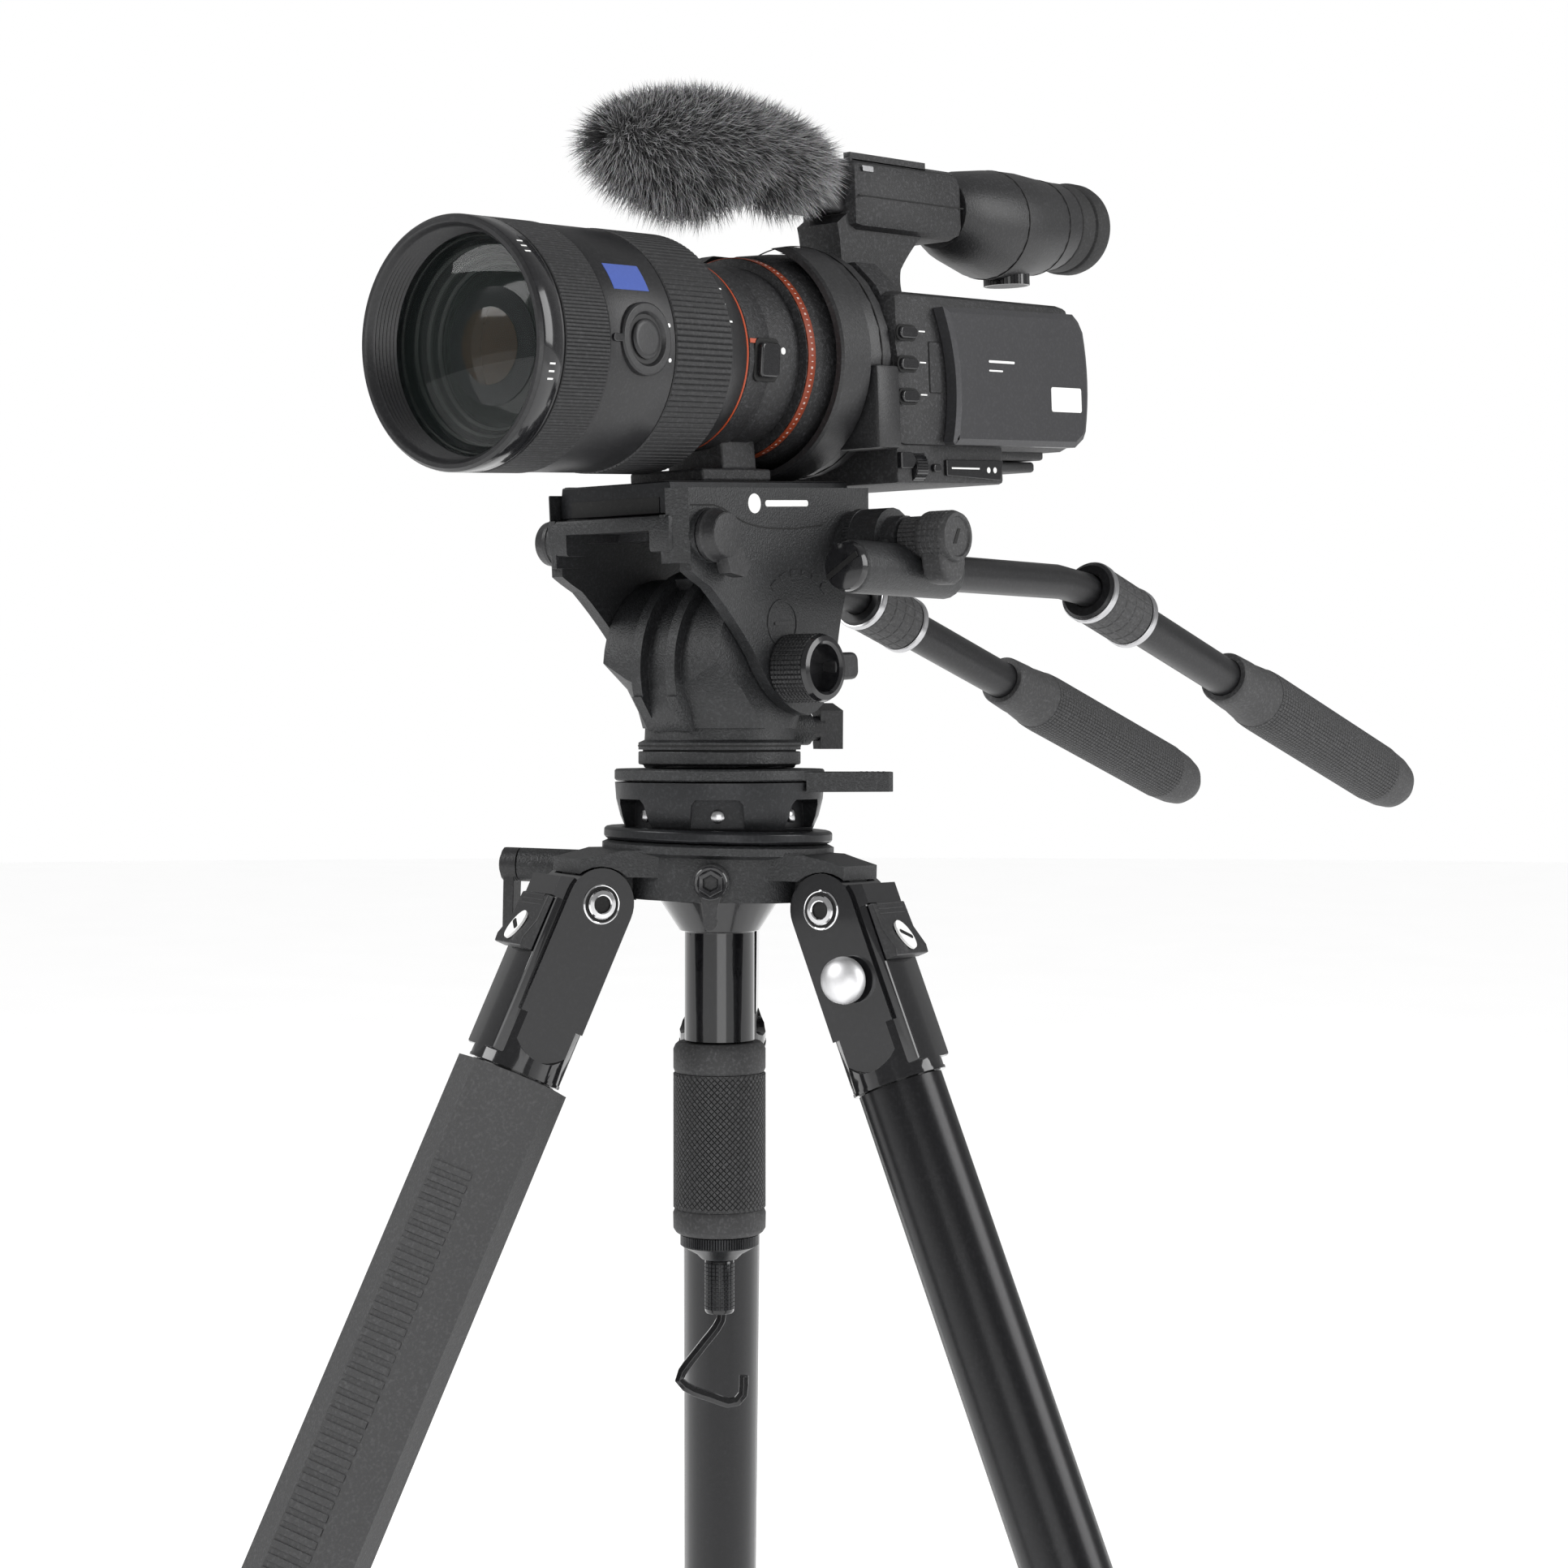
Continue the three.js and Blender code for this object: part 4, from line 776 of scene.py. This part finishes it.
fur_at = shifted(lens_at, 0, -FUR_HEIGHT - 1.5, 1)
foam = spun([(0, -FUR_HALF)] + [(1, -FUR_HALF + 2 * FUR_HALF * i / 24) for i in range(1, 24)]
    + [(0, FUR_HALF)], 48)
for corner in foam.verts:
    if math.hypot(*corner.co.xy) > 0.5:
        clock = math.atan2(corner.co.y, corner.co.x)
        radius = fur_radius((corner.co.z / FUR_HALF + 1) / 2, clock) - 0.4
        corner.co.x = radius * math.cos(clock)
        corner.co.y = radius * math.sin(clock)
foam_sleeve = made("fur_backing", foam, fur_at, "camera", coated("fur_backing_knit",
    (0.02, 0.02, 0.021), 0.9, grain=700, depth=0.5))
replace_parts(foam_sleeve, "fur_windshield")
made("fur_hair", fur_strands(11), fur_at, "camera", fur_finish())
made("fur_strap", spun([(11.4, 2), (14.2, 2), (14.8, 3.4), (14.8, 11), (14.2, 12.4), (11.4, 12.4)], 48,
     True), shifted(fur_at, y=1, z=4), "camera", soft_rubber)
fitted("microphone_clamp", box((-8, 48, 56), (8, 68, 70)), camera_at, satin_moulding, 2, 3)

# ---------------------------------------------------------------- cradle and quick plate
# Cast cradle that swings on the head's drum, its sides scooped round it. The camera screws
# to the sliding plate between its jaws; a side screw with a wing locks the plate.
cast_paint = coated("cast_paint", (0.013, 0.0135, 0.0145), 0.46, dust=2.4, drift=0.14, grain=1500,
    depth=0.4)
anodised = coated("anodised", (0.01, 0.0105, 0.012), 0.33, metallic=0.4, dust=1.8, grain=2600, depth=0.08)
bright_steel = coated("bright_steel", (0.62, 0.62, 0.63), 0.22, metallic=1.0, dust=0.9, grain=900,
    depth=0.04)
CRADLE_X = 32
tilt_at = axes_at(joints["tilt"]["pos_m"], across.cross(lens_axis), across)
cradle_side = left_side(tilt_at, CRADLE_X, 0, 0)
dressed("cradle", cast_paint, 0.7, 3)
dressed("quick_plate", anodised, 0.5)
dressed("plate_lock", satin_moulding, 0.5)
# The near-black edge grooves and front recess of the plate are painted shade.
for index, offset in enumerate((-22.5, 22.5)):
    made(f"plate_edge_groove_{index + 1}", box((offset - 1, -51.6, 65.5), (offset + 1, 46.6, 66.0)),
         tilt_at, "camera", seam_and_recess_shade)
made("plate_front_recess", box((-20, -52.3, 55.2), (20, -51.8, 60.6)), tilt_at, "camera",
     seam_and_recess_shade)
for index, place in enumerate((-30, 12)):
    made(f"camera_screw_{index + 1}", ribbed_tube(1.6, 4.2, 60, 66.2, 28, 0.08, 0.25),
         shifted(tilt_at, 0, place, 0), "camera", bright_steel)
for index, side in enumerate((1, -1)):
    face_at = axes_at(tilt_at @ Vector((side * 34, -42, 47)), across * side, lens_axis)
    made(f"jaw_screw_{index + 1}", spun([(0, 0.2), (8.6, 0.2), (9.2, 0.8), (9.2, 2.2), (8.2, 3.2),
         (7.8, 6.4), (7.2, 7.2), (0, 7.6)], 40), face_at, "cradle" if side < 0 else "plate_lock",
         satin_moulding)

scale_at = shifted(left_side(tilt_at, CRADLE_X - 0.25, 0, 0), 6, 12, 0)
for index, clock in enumerate((-46, -62, -78, -94, -110, -126)):
    made(f"scale_bar_{index + 1}", wrapped_patch(20.5, 0, 0.55, clock, 10, 2.2, 6), scale_at, "cradle",
         cast_paint, 0.15)
made("side_badge_rim", ring(7.6, 8.4, 0, 0.5, 48), shifted(cradle_side, -3, 16, -0.2), "cradle",
     cast_paint)
made("side_badge_bar", plate(rounded(9, 1.2, 0.5), 0.55), shifted(cradle_side, -3, 16, -0.2), "cradle",
     satin_moulding)
scoop = [(-50, 57.6), (-38, 57.6), (-33, 56.4), (-27, 53.6), (-21, 51.4), (-14, 50), (-6, 49.3), (6, 49.2),
    (22, 50.4)]
made("scoop_line", plate(scoop + [(x, z - 0.5) for x, z in reversed(scoop)], 0.2),
     shifted(cradle_side, z=-0.05), "cradle", seam_and_recess_shade)
made("cradle_mark_disc", disc(3.4, 0, 0.22, 32), shifted(cradle_side, -16, 57.8, -0.05), "cradle",
     white_print)
made("cradle_mark_bar", plate(rounded(24, 2.2, 1), 0.22), shifted(cradle_side, 2, 57.8, -0.05), "cradle",
     white_print)
made("plate_release", plate(rounded(11, 7, 3), 5), axes_at(tilt_at @ Vector((-CRADLE_X + 0.4, 8, 56)),
     -across, lens_axis), "cradle", satin_moulding, 1, 3)

# bubble level in the front lip
made("level_cup", spun([(0, 0), (5.6, 0), (5.6, 1.2), (4.8, 1.2), (4.8, 0.6), (0, 0.6)], 32),
     shifted(tilt_at, -17, -50, 53.4), "cradle", satin_moulding)

# ---------------------------------------------------------------- head body
# Painted casting: a wide drum on the tilt shaft, a raised rib over its front, and a neck
# that flares to the round base. The drag cartridges are inside.
dressed("head_body", cast_paint, 0.9, 3)
dressed("pan_base", cast_paint, 0.5)
dressed("pan_lock", satin_moulding, 0.7, 3)
head_at = axes_at((joints["pan"]["pos_m"][0], joints["pan"]["pos_m"][1], joints["tilt"]["pos_m"][2]),
    (0, 0, 1), (1, 0, 0))
# A near-black groove ring and a near-black disc closing the gap under the head: painted shade in the groove
# and the gap.
made("base_groove", ring(28.4, 29.15, -27.4, -26.9, 72), head_at, "head", seam_and_recess_shade)
made("base_bearing", disc(27.4, -33, -27.6, 72), head_at, "head", seam_and_recess_shade)

# tilt lock knob: knurled skirt round a dished face
knob_at = axes_at(joints["tilt"]["pos_m"], across, lens_axis)
knob = ribbed_tube(8.6, 11.6, 32.6, 46.2, 44, 0.35, 0.5, rows=9, ends=0.8)
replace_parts(made("tilt_knob_skirt", knob, knob_at, "tilt_knob", satin_moulding), "tilt_knob")
made("tilt_knob_face", spun([(0, 40.6), (8.0, 40.6), (8.4, 47.6), (9.4, 48.4), (11.2, 48), (11.9, 46.4),
     (11.6, 46), (8.6, 46), (8.4, 40), (0, 40)], 64), knob_at, "tilt_knob", gloss_ring)
made("tilt_knob_wing", plate(rounded(13, 9.6, 3), 9), shifted(knob_at, 14.4, 0, 38), "tilt_knob",
     satin_moulding, 1.4, 3)

# ---------------------------------------------------------------- pan handles
# Each handle is a bent tube in a toothed clamp. A knurled wing screw sets its angle, and a
# rubber-banded collar with bright rings locks the sliding tube that carries the grip.
band_rubber = coated("band_rubber", (0.03, 0.03, 0.031), 0.6, dust=2.2, grain=1100, depth=0.3)
rod_paint = coated("rod_paint", (0.011, 0.011, 0.012), 0.36, metallic=0.3, dust=1.8, grain=2400, depth=0.12)
HANDLE_X = 55.6
ROD_DROP = 11.2
ROD_BEND_Y = 110
BAND_LOW = 13.6
BAND_HIGH = 39.6

for side, sign in (("left", 1), ("right", -1)):
    angle = joints[f"{side}_handle_angle"]
    pivot = Vector((joints["tilt"]["pos_m"][0], angle["pos_m"][1], angle["pos_m"][2]))
    outward = axes_at(pivot, (sign, 0, 0), (0, 1, 0))
    down_slope = Vector(joints[f"{side}_handle_telescope"]["axis"])
    slope_at = axes_at(pivot + Vector((sign * HANDLE_X, ROD_BEND_Y, -ROD_DROP)) * MM, down_slope, (1, 0, 0))
    dressed(f"{side}_handle_clamp", cast_paint, 0.6, 3)
    dressed(f"{side}_handle_rod", rod_paint, 0.3)
    cap_at = axes_at(pivot + Vector((sign * HANDLE_X, 0, -ROD_DROP)) * MM, (0, -1, 0), (1, 0, 0))
    made(f"{side}_clamp_cap", spun([(0, 33.4), (8.7, 33.4), (8.9, 34.4), (8.2, 36.4), (6, 37.2), (0, 37.5)],
         48), cap_at, f"{side}_handle", gloss_ring)
    # The near-black screw slot in the cap is painted shade.
    made(f"{side}_clamp_slot", box((-7.6, -0.9, 37.3), (7.6, 0.9, 37.8)), turned(cap_at, 32),
         f"{side}_handle", seam_and_recess_shade)
    teeth = ribbed_tube(6, 11.3, 35.6, 38.2, 60, 0.1, 0.35)
    made(f"{side}_rosette_teeth", teeth, outward, f"{side}_handle", cast_paint)
    knob_piece = made(f"{side}_knob_stem", ribbed_tube(2, 7.4, 57.1, 65.6, 30, 0.2, 0.4, rows=4), outward,
        f"{side}_handle_knob", band_rubber)
    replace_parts(knob_piece, f"{side}_handle_knob")
    made(f"{side}_knob_head", spun([(0, 65.4), (8.6, 65.4), (9.1, 66.2), (9.1, 76.6), (8.4, 78.3),
         (7.2, 78.3), (6.8, 77.6), (0, 77.5)], 64), outward, f"{side}_handle_knob",
         band_rubber)
    made(f"{side}_knob_ribs", ribbed_tube(7.4, 8.9, 66.6, 76.4, 26, 0.35, 0.45, rows=5), outward,
         f"{side}_handle_knob", band_rubber)
    wing_points = [(-0.5, -6.4), (-9, -8), (-14.6, -6.4), (-16.8, -2.4), (-16.4, 2.6), (-13.6, 5.6),
        (-8, 7), (-0.5, 6.4)]
    made(f"{side}_knob_wing", plate(wing_points, 10.2), turned(shifted(outward, 0, 0, 66.4), sign * 90),
         f"{side}_handle_knob", band_rubber, 2.2, 4)
    made(f"{side}_knob_mark", plate([(-3.2, -2.6), (-0.4, 2.8), (1.2, 2.8), (-1.2, -2.6)], 0.25),
         shifted(outward, 1, 0, 77.45), f"{side}_handle_knob", seam_and_recess_shade)
    tube = spun([(6.9, 9), (7.6, 9), (7.6, 44), (8, 44.4), (8, 250), (6.9, 250)], 48, True)
    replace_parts(made(f"{side}_sliding_tube", tube, slope_at, f"{side}_handle_grip",
        rod_paint), f"{side}_handle_sleeve")
    core = spun([(7.4, 8.8), (10.4, 8.8), (11.2, 9.6), (11.2, 44.2), (10, 45.6), (8.1, 46), (7.4, 46)], 64,
        True)
    made(f"{side}_collar_core", core, slope_at, f"{side}_handle_grip", rod_paint)
    for index, low in enumerate((BAND_LOW - 3.7, BAND_HIGH + 0.3)):
        ring_shape = [(10.8, low), (11.8, low), (12.2, low + 0.5), (12.2, low + 2.9), (11.8, low + 3.4),
            (10.8, low + 3.4)]
        made(f"{side}_collar_ring_{index + 1}", spun(ring_shape, 64, True), slope_at, f"{side}_handle_grip",
             satin_metal)
    band = ribbed_tube(10.8, 11.5, BAND_LOW, BAND_HIGH, 20, 0.55, 0.4, rows=4)
    made(f"{side}_collar_band", band, slope_at, f"{side}_handle_grip", band_rubber, 0.15)

    grip_shape = [(8.2, 118), (10.2, 118), (10.8, 118.8), (11, 122), (11.4, 130)]
    grip_shape += [(11.4 + 1.6 * math.sin(math.pi / 2 * min(1, i / 5)), 134 + i * 4.2) for i in range(31)]
    grip_shape += [(12.9, 262), (12.4, 270), (11.2, 276.4), (8.6, 281.2), (4.6, 283.4), (0, 283.8),
        (0, 251), (8.2, 251)]
    grip = spun(grip_shape, 56, True)
    rows = [edge for edge in grip.edges if abs(edge.verts[0].co.z - edge.verts[1].co.z) > 1
        and 146 < (edge.verts[0].co.z + edge.verts[1].co.z) / 2 < 258
        and math.hypot(*edge.verts[0].co.xy) > 11]
    bmesh.ops.subdivide_edges(grip, edges=rows, cuts=1)
    checks = [check for check in grip.faces if 146 < check.calc_center_median().z < 258
        and math.hypot(*check.calc_center_median().xy) > 11]
    bmesh.ops.inset_individual(grip, faces=checks, thickness=0.24, depth=0.3, use_even_offset=True)
    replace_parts(made(f"{side}_grip_rubber", grip, slope_at, f"{side}_handle_grip",
        band_rubber), f"{side}_handle_grip")

# ---------------------------------------------------------------- levelling half ball
# Machined 75 mm half ball with windows round its side, a locking plate with a finger lever
# above it, and the stud, cone and short column that pull it down into the hub.
ball_paint = coated("ball_paint", (0.016, 0.0165, 0.018), 0.36, metallic=0.5, dust=1.7, grain=2600,
    depth=0.15)
column_gloss = coated("column_gloss", (0.007, 0.007, 0.008), 0.14, metallic=0.2, dust=1.6, drift=0.04,
    grain=300, depth=0.015, coat=0.6)
ball_centre = Vector(joints["level_front_back"]["pos_m"])
level_at = axes_at(ball_centre, (0, 0, 1), (1, 0, 0))
dressed("levelling_half_ball", ball_paint, 0.4)
dressed("lever_plate", cast_paint, 0.5, 3)
dressed("centre_column", column_gloss, 0.3)
dressed("level_washer", bright_steel, 0.1)
BALL_SCREWS = 6
for index in range(BALL_SCREWS):
    made(f"ball_screw_{index + 1}", spun([(0, 27), (2.4, 27), (2.4, 30.2), (1.8, 30.6), (0, 30.6)], 20),
         shifted(turned(turned(level_at, -51.4 + 60 * index), 90, "Y"), x=12), "level",
         bright_steel)
lever_at = turned(level_at, 38.6)
for tooth in range(5):
    made(f"lever_ridge_{tooth + 1}", box((50 + tooth * 2, -18.4, 3.2), (51 + tooth * 2, -5.4, 3.5)),
         lever_at, "lever_plate", cast_paint, 0.2)

# ---------------------------------------------------------------- column grip and bag hook
# Rubber twist grip with a diamond knurl between plain ends, a knurled ring and cone below
# it, and a bent wire hook that swivels on a knurled stem.
knurl = ring(12.6, 16.1, -152.2, -104, 48)
wall = [edge for edge in knurl.edges if abs(edge.verts[0].co.z - edge.verts[1].co.z) > 40
    and math.hypot(*edge.verts[0].co.xy) > 16]
bmesh.ops.subdivide_edges(knurl, edges=wall, cuts=21)
panels = [face for face in knurl.faces if all(math.hypot(*v.co.xy) > 16 for v in face.verts)
    and len(face.verts) == 4 and abs(face.normal.z) < 0.1]
quads = {edge for face in panels for edge in face.edges
    if len([f for f in edge.link_faces if f in set(panels)]) == 2}
bmesh.ops.poke(knurl, faces=panels)
bmesh.ops.dissolve_edges(knurl, edges=[edge for edge in quads if edge.is_valid], use_verts=False)
diamonds = [face for face in knurl.faces if len(face.verts) == 4 and abs(face.normal.z) < 0.1
    and all(math.hypot(*v.co.xy) > 15.9 for v in face.verts)]
bmesh.ops.inset_individual(knurl, faces=diamonds, thickness=0.2, depth=0.42, use_even_offset=True)
made("column_knurl", knurl, level_at, "column_grip", band_rubber)
plain = spun([(8.4, -158), (14.6, -161.4), (15.6, -160.8), (16.5, -159.4), (16.6, -154), (16, -152.6),
    (15.6, -152.2), (15.6, -104), (16, -103.6), (16.5, -102.4), (16.5, -95.6), (15.8, -94), (14.8, -93.1),
    (8.4, -92.9)], 64, True)
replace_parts(made("column_sleeve", plain, level_at, "column_grip", band_rubber),
    "column_grip")
made("column_ring", ribbed_tube(9, 13.6, -165.6, -161.7, 90, 0.16, 0.4), level_at, "column_grip",
     anodised)
made("column_cone", spun([(3.4, -170.6), (6.4, -170.6), (8.2, -168.8), (13.4, -165.9), (13.4, -165.4),
     (3.4, -165.4)], 48, True), level_at, "column_grip", anodised)
dressed("bag_hook", coated("black_wire", (0.012, 0.012, 0.013), 0.2, metallic=0.4, coat=0.5, grain=300,
    depth=0.02), 0.2)
made("hook_stem_knurl", ribbed_tube(3, 5.0, -188.6, -172, 22, 0.16, 0.4, rows=12), level_at, "bag_hook",
     anodised)

# ---------------------------------------------------------------- spider and its levers
# Cast hub with three arms. It is pinched round the column by a lever barrel at the back,
# and a small drop lever on a hex boss locks the half ball.
hub_axis = Vector(joints["hub_lever_turn"]["axis"])
barrel_axis = Vector(joints["column_clamp_lever_turn"]["axis"])
stand_up = barrel_axis.cross(hub_axis).normalized()
dressed("spider", cast_paint, 0.7, 3)
dressed("clamp_disc", anodised, 0.4)
dressed("hub_lever", satin_moulding, 0.7, 3)
dressed("column_clamp_lever", satin_moulding, 0.7, 3)
hub_at = axes_at(joints["hub_lever_turn"]["pos_m"], hub_axis, stand_up)
made("hub_hex_socket", spun([(2.4, 0.6), (5, 0.6), (5, 3.2), (4.4, 3.8), (3, 3.4), (2.4, 1.4)], 6, True),
     hub_at, "hub_lever", gloss_ring, 0.15)
made("hub_hex_ring", spun([(4.6, 1), (5.8, 1), (5.8, 3), (5.4, 3.4), (4.6, 3.2)], 40, True), hub_at,
     "hub_lever", gloss_ring)
barrel_face_at = axes_at(joints["column_clamp_lever_turn"]["pos_m"], barrel_axis, stand_up)
made("barrel_cap", spun([(0, 2.8), (4.6, 2.8), (4.6, 3.4), (4, 3.9), (0, 3.7)], 40), barrel_face_at,
     "column_clamp_lever", satin_moulding)

# ---------------------------------------------------------------- legs
# Glossy brackets hinge on chrome socket bolts and are held at their angle by a sprung tab.
# Each leg is a satin tube in the bracket, with a ribbed twist collar and a second tube below.
leg_gloss = coated("leg_gloss", (0.006, 0.006, 0.007), 0.13, metallic=0.2, dust=1.5, drift=0.05, grain=260,
    depth=0.012, coat=0.7)
tube_satin = coated("tube_satin", (0.007, 0.007, 0.008), 0.24, metallic=0.3, dust=1.6, drift=0.06,
    grain=2400, depth=0.06)
chrome = coated("chrome", (0.78, 0.78, 0.79), 0.1, metallic=1.0, dust=0.92, drift=0.04, grain=300,
    depth=0.01)
knob_satin = coated("knob_satin", (0.86, 0.86, 0.87), 0.5, metallic=1.0, dust=0.95, drift=0.05, grain=900,
    depth=0.04)
CHEEK_Y = 13.2


def leg_axes(leg):
    """The hinge axis of a leg, its directions up and outwards, and its place at the hinge."""
    hinge = Vector(joints[f"{leg}_fold"]["axis"])
    up = -Vector(joints[f"{leg}_extension"]["axis"])
    outwards = hinge.cross(up)
    return hinge, up, outwards, axes_at(joints[f"{leg}_fold"]["pos_m"], up, outwards)


for number in (1, 2, 3):
    leg = f"leg{number}"
    hinge_axis, leg_up, leg_out, leg_at = leg_axes(leg)
    dressed(f"{leg}_bracket", leg_gloss, 0.6, 3)
    dressed(f"{leg}_angle_tab", satin_moulding, 0.5, 3)
    dressed(f"{leg}_upper_tube", tube_satin, 0.2)
    dressed(f"{leg}_lower_tube", tube_satin, 0.2)
    for index, side in enumerate((1, -1)):
        bolt_at = axes_at(leg_at @ Vector((0, side * (CHEEK_Y - 0.4), 0)), hinge_axis * side, leg_up)
        made(f"{leg}_bolt_cup_{index + 1}", spun([(6.2, 0.4), (6.9, 0.3), (6.9, 0.75), (6.6, 0.95),
             (6.3, 0.8)], 48, True), bolt_at, leg, chrome)
        # The near-black disc in the gap round each bolt and the near-black hex at its centre are painted
        # shade in the gap and the socket.
        made(f"{leg}_bolt_gap_{index + 1}", disc(6.3, 0.2, 0.62, 48), bolt_at, leg, seam_and_recess_shade)
        made(f"{leg}_bolt_{index + 1}", spun([(3, 0.6), (5.2, 0.6), (5.2, 1.3), (4.8, 1.8), (3.4, 1.9),
             (3, 1.6)], 48, True), bolt_at, leg, chrome)
        made(f"{leg}_bolt_hex_{index + 1}", disc(3.1, 0.65, 0.9, 6), bolt_at, leg, seam_and_recess_shade)
    if number == 2:
        made("side_knob", spun([(0, 0), (3.2, 0), (3.2, 3), (8, 3.4), (8.2, 4.6), (7.8, 6.8), (6.2, 9),
             (3.4, 10.5), (0, 11)], 64), axes_at(leg_at @ Vector((1.5, -CHEEK_Y + 1, -26)), -hinge_axis,
             leg_up), leg, knob_satin)
    mark_at = axes_at(leg_at @ Vector((21.1, 0, -17.2)), leg_out + leg_up * 0.28, leg_up)
    made(f"{leg}_tab_oval", spun([(0, -0.6), (4.3, -0.6), (4.3, 0.25), (0, 0.3)], 40),
         mark_at @ Matrix.Diagonal((1.35, 0.95, 1, 1)), f"{leg}_angle_tab", white_print)
    made(f"{leg}_tab_bar", plate(rounded(6.6, 1.6, 0.7), 0.45), turned(mark_at, 62), f"{leg}_angle_tab",
         seam_and_recess_shade)
    for ridge in range(3):
        made(f"{leg}_tab_ridge_{ridge + 1}", box((18.3, -8.6, -8.6 + ridge * 1.7),
             (19.1, 8.6, -7.8 + ridge * 1.7)), leg_at, f"{leg}_angle_tab", satin_moulding,
             0.2)
    made(f"{leg}_inner_pad", plate(rounded(17, 8, 1.5), 2.4),
         axes_at(leg_at @ Vector((-12, 0, -30)), -leg_out, leg_up), leg, band_rubber, 0.6)
    made(f"{leg}_bracket_ring", ring(16.3, 16.7, -63.9, -62.9, 72), leg_at, leg, leg_gloss)
    collar = ribbed_tube(12.7, 17.6, -586, -549, 24, 0.7, 0.8, rows=1, ends=1.6)
    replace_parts(made(f"{leg}_collar_rubber", collar, leg_at, f"{leg}_collar", band_rubber,
        0.3), f"{leg}_collar")
    dressed(f"{leg}_foot", band_rubber, 0.8, 3)
    made(f"{leg}_foot_ring", spun([(14.6, -606), (16.3, -606), (16.5, -605.4), (16.4, -604),
         (14.6, -603.8)], 48, True), leg_at, f"{leg}_lower", anodised)

# ---------------------------------------------------------------- moulded leg grip
# Eight-sided rubber sleeve pushed on the first leg under its bracket, with one band of
# short cross ribs for the fingers on one of its flats.
first_at = leg_axes("leg1")[3]
leg_rubber = coated("leg_rubber", (0.036, 0.036, 0.037), 0.66, dust=1.6, drift=0.1, grain=1300, depth=0.35)
dressed("leg_grip", leg_rubber, 1.6, 3)
RIB_COUNT = 44
RIB_PITCH = 4.6
RIBS_START = -104
for rib in range(RIB_COUNT):
    low = RIBS_START - rib * RIB_PITCH
    made(f"grip_rib_{rib + 1}", box((-7.4, -18.2, low), (7.4, -19.0, low + 2.6)), turned(first_at, 135),
         "leg1", leg_rubber, 0.5)
